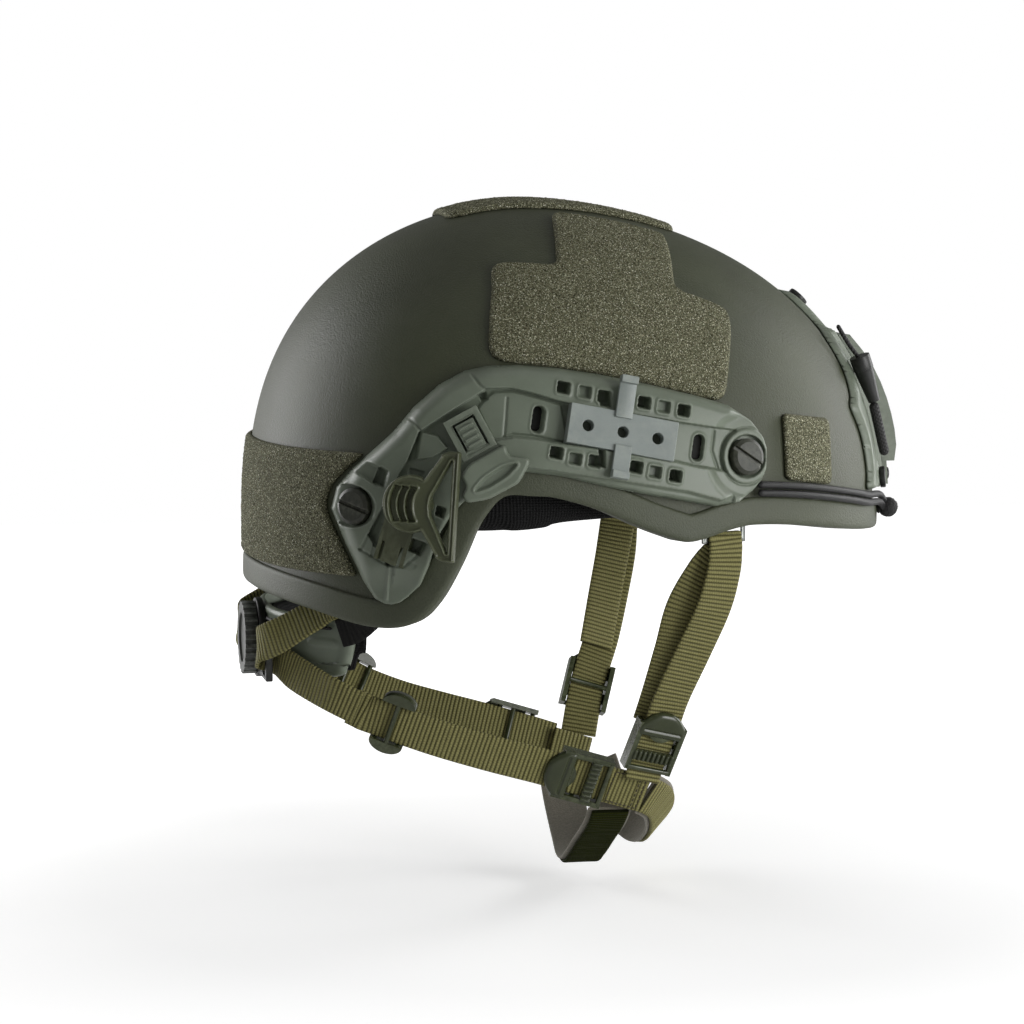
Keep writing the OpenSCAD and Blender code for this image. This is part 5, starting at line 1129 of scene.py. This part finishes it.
# Faces of the ladder locks: a toothed comb and a domed thumb tab
FR, FL = np.array(RIGHT_FRONT), np.array(LEFT_FRONT)
RR, RL = np.array(RIGHT_REAR), np.array(LEFT_REAR)
lock_places = {
    "right_front": on_strap(FR[15], FR[14] - FR[16], [0.1, -1, -0.3]),
    "left_front": on_strap(FL[14], FL[13] - FL[15], [0, 1, -0.3]),
    "right_rear": on_strap(RR[8] * 0.5 + RR[9] * 0.5, RR[7] - RR[9], RIGHT_LOOK),
    "left_rear": on_strap(RL[8] * 0.7 + RL[9] * 0.3, RL[7] - RL[9], LEFT_LOOK),
}
COMB = rounded([[-9.8, -6.2], [9.8, -6.2], [9.8, -1.6], [-9.8, -1.6]], 0.8)
TAB = rounded([
    [-10.9, 5], [10.9, 5], [10.6, 10.5], [6.8, 14.6], [3, 16.6], [-3, 16.6], [-6.8, 14.6], [-10.6, 10.5]], 2)
for name, place in lock_places.items():
    for part, outline, step, height in (
            ("comb", COMB, 0.3,
             lambda u, v, d: 2.5 + 1.5 * ease(np.cos(2 * np.pi * u / 2.1) * 1.2 + 0.5) * dome(d + 0.2, 1.0)),
            ("tab", TAB, 0.4,
             lambda u, v, d: 1.9 + 2.0 * dome(d, 3.2) - 0.8 * ease(1 - np.abs(v - 8.4) / 1.0) * (d > 2))):
        masked_slab(f"{name}_lock_{part}", local_chart(*place), outline, step, height, 1.1, "buckle_polymer",
                    "dark_plastic")

# Padded pieces
SIM_FRAMES = 20


def modifier(piece, name, kind, **settings):
    """A modifier of a kind, added to a piece with its settings."""
    added = piece.modifiers.new(name, kind)
    for key, value in settings.items():
        setattr(added, key, value)
    return added


def settled_points(piece):
    """The piece's points with its modifiers, at this frame."""
    points = piece.evaluated_get(bpy.context.evaluated_depsgraph_get()).data.vertices
    at = np.empty(len(points) * 3)
    points.foreach_get("co", at)
    return at.reshape(-1, 3)


def swollen(name, outer, inner, slot, limit, body="helmet", voxel=5.0, channels=(), **extra):
    """A pad: the closed form between two grids, remeshed, blown up as cloth with each point's move held to a
    limit, then subdivided. channels are (point, direction, depth) of sewn lines pressed into the inside."""
    piece = make(name, *slab_parts(outer, inner), "pad_knit", slot, body, crease=0, **extra)
    modifier(piece, "even", "REMESH", mode="VOXEL", voxel_size=voxel * MM, use_smooth_shade=True)
    cloth = modifier(piece, "cloth", "CLOTH")
    cloth.settings.use_pressure = True
    cloth.settings.uniform_pressure_force = 4.0
    cloth.settings.effector_weights.gravity = 0.0
    cloth.settings.quality = 5
    cloth.point_cache.frame_start, cloth.point_cache.frame_end = 1, SIM_FRAMES
    cloth.show_viewport = False
    scene = bpy.context.scene
    scene.frame_set(1)
    moved = start = settled_points(piece)
    cloth.show_viewport = True
    for frame_number in range(1, SIM_FRAMES + 1):
        scene.frame_set(frame_number)
    moved = settled_points(piece)
    shift = moved - start
    size = np.linalg.norm(shift, axis=1, keepdims=True)
    moved = start + shift * np.minimum(1, limit * MM / np.maximum(size, 1e-9))
    for channel in channels:
        middle, along, away = (np.array(q, float) for q in channel[:3])
        off = (moved - middle * MM) @ np.cross(along, away)
        press = np.exp(-((off / 0.0035) ** 2)) * ((moved - middle * MM) @ away < 0)
        moved = moved + away * (press * channel[3] * MM)[:, None]
    made = bpy.data.meshes.new_from_object(piece.evaluated_get(bpy.context.evaluated_depsgraph_get()))
    made.vertices.foreach_set("co", moved.astype(np.float32).ravel())
    made.polygons.foreach_set("use_smooth", np.ones(len(made.polygons), bool))
    made.update()
    piece.modifiers.clear()
    piece.data = made
    modifier(piece, "smooth", "SUBSURF", levels=1, render_levels=1)
    scene.frame_set(1)


# Height of the pads' outer face on the shell's surface: the wall, the hook disc, and the gaps
HOOK_T, PAD_GAP = 1.2, 1.45
PAD_G = -WALL - HOOK_T - PAD_GAP


def crown_share(u):
    """sqrt(1 - (2u - 1)^4): 0 at both ends and 1 in the middle."""
    return np.sqrt(np.clip(1 - (2 * u - 1) ** 4, 0, 1))


def wall_pad(name, a0, a1, low, high, node):
    """Pad on the wall between two plan angles, thinning to its edges, a little smaller than it ends up."""
    u, v = np.meshgrid(np.linspace(0.02, 0.98, 26), np.linspace(0.03, 0.97, 14))
    a = a0 + (a1 - a0) * u
    bottom = curve(low, a) + 1
    z = bottom + (high - 1 - bottom) * v
    swell = 0.35 + 0.55 * np.minimum(crown_share(u), crown_share(v))
    outer = at_plan(np.radians(a), z, PAD_G - 1.2)
    inner = at_plan(np.radians(a), z, PAD_G - 20 * swell)
    swollen(name, outer, inner, "pad", 6, replaces=[node])


wall_pad("front_liner_pad", -42, 42, [[-42, 26], [0, 18], [42, 26]], 72, "front_pad")
wall_pad("rear_liner_pad", 150, 210, [[150, -4], [180, 0], [210, -4]], 62, "rear_pad")
wall_pad("right_liner_pad", -121, -68, [[-121, 9.6], [-106, 5.6], [-68, 12]], 74, "right_side_pad")
wall_pad("left_liner_pad", 121, 68, [[68, 12], [106, 5.6], [121, 9.6]], 74, "left_side_pad")
u, v = np.meshgrid(np.linspace(0.02, 0.98, 26), np.linspace(0.02, 0.98, 22))
x, y = WIDEST_X - 62 + 128 * u, -52 + 104 * v
crown_swell = 0.35 + 0.55 * np.minimum(crown_share(u), crown_share(v))
swollen("crown_liner_pad", np.stack([x, y, top_z(x, y, PAD_G - 1.2)], -1),
        np.stack([x, y, top_z(x, y, PAD_G - 18 * crown_swell)], -1), "pad", 6, replaces=["crown_pad"],
        channels=[([-14, 0, 120], [0, 1, 0], [0, 0, 1], 3.5)])

# Headband and the cradle's arms
angle = np.radians(np.linspace(-112, 112, 160))
share = np.linspace(-1, 1, 160)
band_g = PAD_G - 20 - 3.5
rows = np.linspace(0, 1, 12)[:, None]
z = (28 + 19 * rows) - 10 * (1 - rows) * share[None, :] ** 2
bulge = 0.9 * np.sin(np.pi * rows)
outer, inner = (at_plan(angle[None, :], z, band_g + g) for g in (1.6 + bulge, 0.8 - bulge))
make("padded_headband", *slab_parts(outer, inner), "pad_knit", "band", replaces=["headband"])
ARM = [[-103, -59.4, -36], [-96.5, -63.9, -33], [-86, -69, -22], [-76, -73, -10], [-68, -75.5, 0],
       [-58, -76.6, 12], [-46, -76.6, 22], [-34, -77, 28]]
for side, sign in SIDES:
    ribbon(f"{side}_band_arm", on_side(ARM, sign), on_side([[-0.4, -1, 0]] * len(ARM), sign), 12, 1.6,
           "black_webbing_cloth", "band", "cradle", rib=0.05, replaces=["band_arms"] if sign > 0 else [])

# Nape cradle and its pad
z = np.linspace(-57, -30, 10)
half = 60 - 3.6 * ((-30 - z) / 27) ** 2
cradle_outline = np.concatenate([np.stack([half, z], 1), np.stack([-half, z], 1)[::-1]])
cradle_outline = rounded(cradle_outline, 4.5, 4)


def cradle_height(y, z, d):
    """Rounded edge, raised border and a small raised oblong near each end."""
    oblong = box_distance(np.abs(y) - 50, z + 41, 5.0, 1.6, 1.5)
    return 0.7 + 1.8 * dome(d, 1.5) - 0.5 * ease((d - 2.6) / 0.8) + 0.6 * ease(oblong / 0.6 + 0.5)


masked_slab("nape_cradle_plate", lambda u, v, g: nape_pt(u, -g, v + (v < -50) * 3 * (np.abs(u) / 60) ** 4),
            cradle_outline, 0.7, cradle_height, 0, "rail_polymer", "housing", "cradle",
            replaces=["nape_cradle"])
u, v = np.meshgrid(np.linspace(-1, 1, 44), np.linspace(0.04, 0.96, 8))
z = -55.5 + 24 * v
half = 63.4 - 3.6 * ((-30 - z) / 27) ** 2
thick = 0.6 + 5.2 * np.minimum(crown_share((u + 1) / 2), crown_share(v))
swollen("nape_cushion", nape_pt(u * half, 0.6, z), nape_pt(u * half, 0.9 + thick, z), "pad", 2.5, "cradle",
        voxel=4.0, replaces=["nape_pad"])


# CAD parts that show: each with its material, and its sharp edges rounded by a width in millimetres
def soften(piece, width):
    """Welds the loose triangles, clears flat edges and rounds the sharp ones."""
    modifier(piece, "weld", "WELD", merge_threshold=0.00001)
    modifier(piece, "flat", "DECIMATE", decimate_type="DISSOLVE", angle_limit=math.radians(2))
    modifier(piece, "edges", "BEVEL", width=width * MM, segments=2, limit_method="ANGLE",
             angle_limit=math.radians(30), use_clamp_overlap=True, miter_outer="MITER_ARC")


# A name that starts with a line is on both sides, and a width of 0 leaves the edges
for node, material, width in (
        ("rail_bolts", "bolt_finish", 0.5), ("rail_nuts", "bracket_steel", 0),
        ("strap_brackets", "bracket_steel", 0.2), ("_accessory_plate", "plate_polymer", 0.5),
        ("_latch_insert", "rail_polymer", 0.4), ("_latch_tongue", "rail_polymer", 0.25),
        ("_clip_carriage", "clip_polymer", 0.4), ("_swivel_clip", "clip_polymer", 0),
        ("_edge_clip", "rail_polymer", 0), ("shroud_plate", "rail_polymer", 0),
        ("shroud_receiver", "rail_polymer", 1.2), ("shroud_screws", "black_polymer", 0.5),
        ("lanyard_grips", "black_polymer", 0.4), ("hook_discs", "hook_black", 0),
        ("front_buckles", "buckle_polymer", 0.4), ("rear_buckles", "buckle_polymer", 0.4),
        ("tri_glides", "buckle_polymer", 0.4), ("nape_cradle", "rail_polymer", 0),
        ("dial_housing", "black_polymer", 0.6), ("lace_spool", "black_polymer", 0),
        ("dial_knob", "knob_polymer", 0.5)):
    for name in ("right" + node, "left" + node) if node[0] == "_" else (node,):
        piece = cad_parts[name]
        piece.data.materials.clear()
        piece.data.materials.append(finish[material])
        if width:
            soften(piece, width)

# Floor, backdrop and light
WHITE = (1, 1, 1, 1)
FLOOR_Z, AMBIENT = -0.1575, 0.2
scene = bpy.context.scene
scene.view_settings.view_transform = "Standard"
bpy.ops.mesh.primitive_plane_add(size=3, location=(0, 0, FLOOR_Z))
floor = bpy.context.object
floor.name = "floor"
floor_material = bpy.data.materials.new("floor_white")
floor_material.use_nodes = True
tree = floor_material.node_tree
floor_at = add(tree, "TexCoord").outputs["Object"]
away = add(tree, "VectorMath", {"operation": "LENGTH"}, _0=floor_at).outputs["Value"]
glow = spread(tree, away, 0.2, 0.75, 0.38, 0.95)
seen = times(tree, glow, add(tree, "LightPath").outputs["Is Camera Ray"])
fill(tree, tree.nodes["Principled BSDF"], {
    "Base_Color": (0.9, 0.9, 0.9, 1), "Roughness": 0.9, "Emission_Color": WHITE, "Emission_Strength": seen})
floor.data.materials.append(floor_material)

world = bpy.data.worlds.new("studio")
scene.world = world
world.use_nodes = True
tree = world.node_tree
tree.nodes.clear()
ambient, white = (add(tree, "Background", Color=WHITE, Strength=power).outputs[0] for power in (AMBIENT, 1.0))
seen = add(tree, "LightPath").outputs["Is Camera Ray"]
add(tree, "OutputWorld", Surface=add(tree, "MixShader", _0=seen, _1=ambient, _2=white).outputs[0])


def area_light(name, place, target, size, power):
    """A rectangular lamp at a place, turned to its target."""
    data = bpy.data.lights.new(name, "AREA")
    data.shape = "RECTANGLE"
    data.size, data.size_y = size
    data.energy = power
    lamp = bpy.data.objects.new(name, data)
    lamp.location = place
    lamp.rotation_euler = (Vector(target) - Vector(place)).to_track_quat("-Z", "Y").to_euler()
    bpy.context.collection.objects.link(lamp)


area_light("key_soft", (1.0, -1.15, 0.08), (0, 0, 0.02), (0.9, 0.9), 18)
area_light("top_soft", (0.1, -0.3, 1.4), (0, 0, 0.02), (1.4, 1.2), 2)
area_light("rear_rim", (-0.95, 0.8, 0.2), (-0.05, 0, 0.02), (0.6, 1.0), 11)
area_light("front_rim", (1.15, 0.3, 0.3), (0.05, 0, 0.02), (0.6, 1.0), 9)
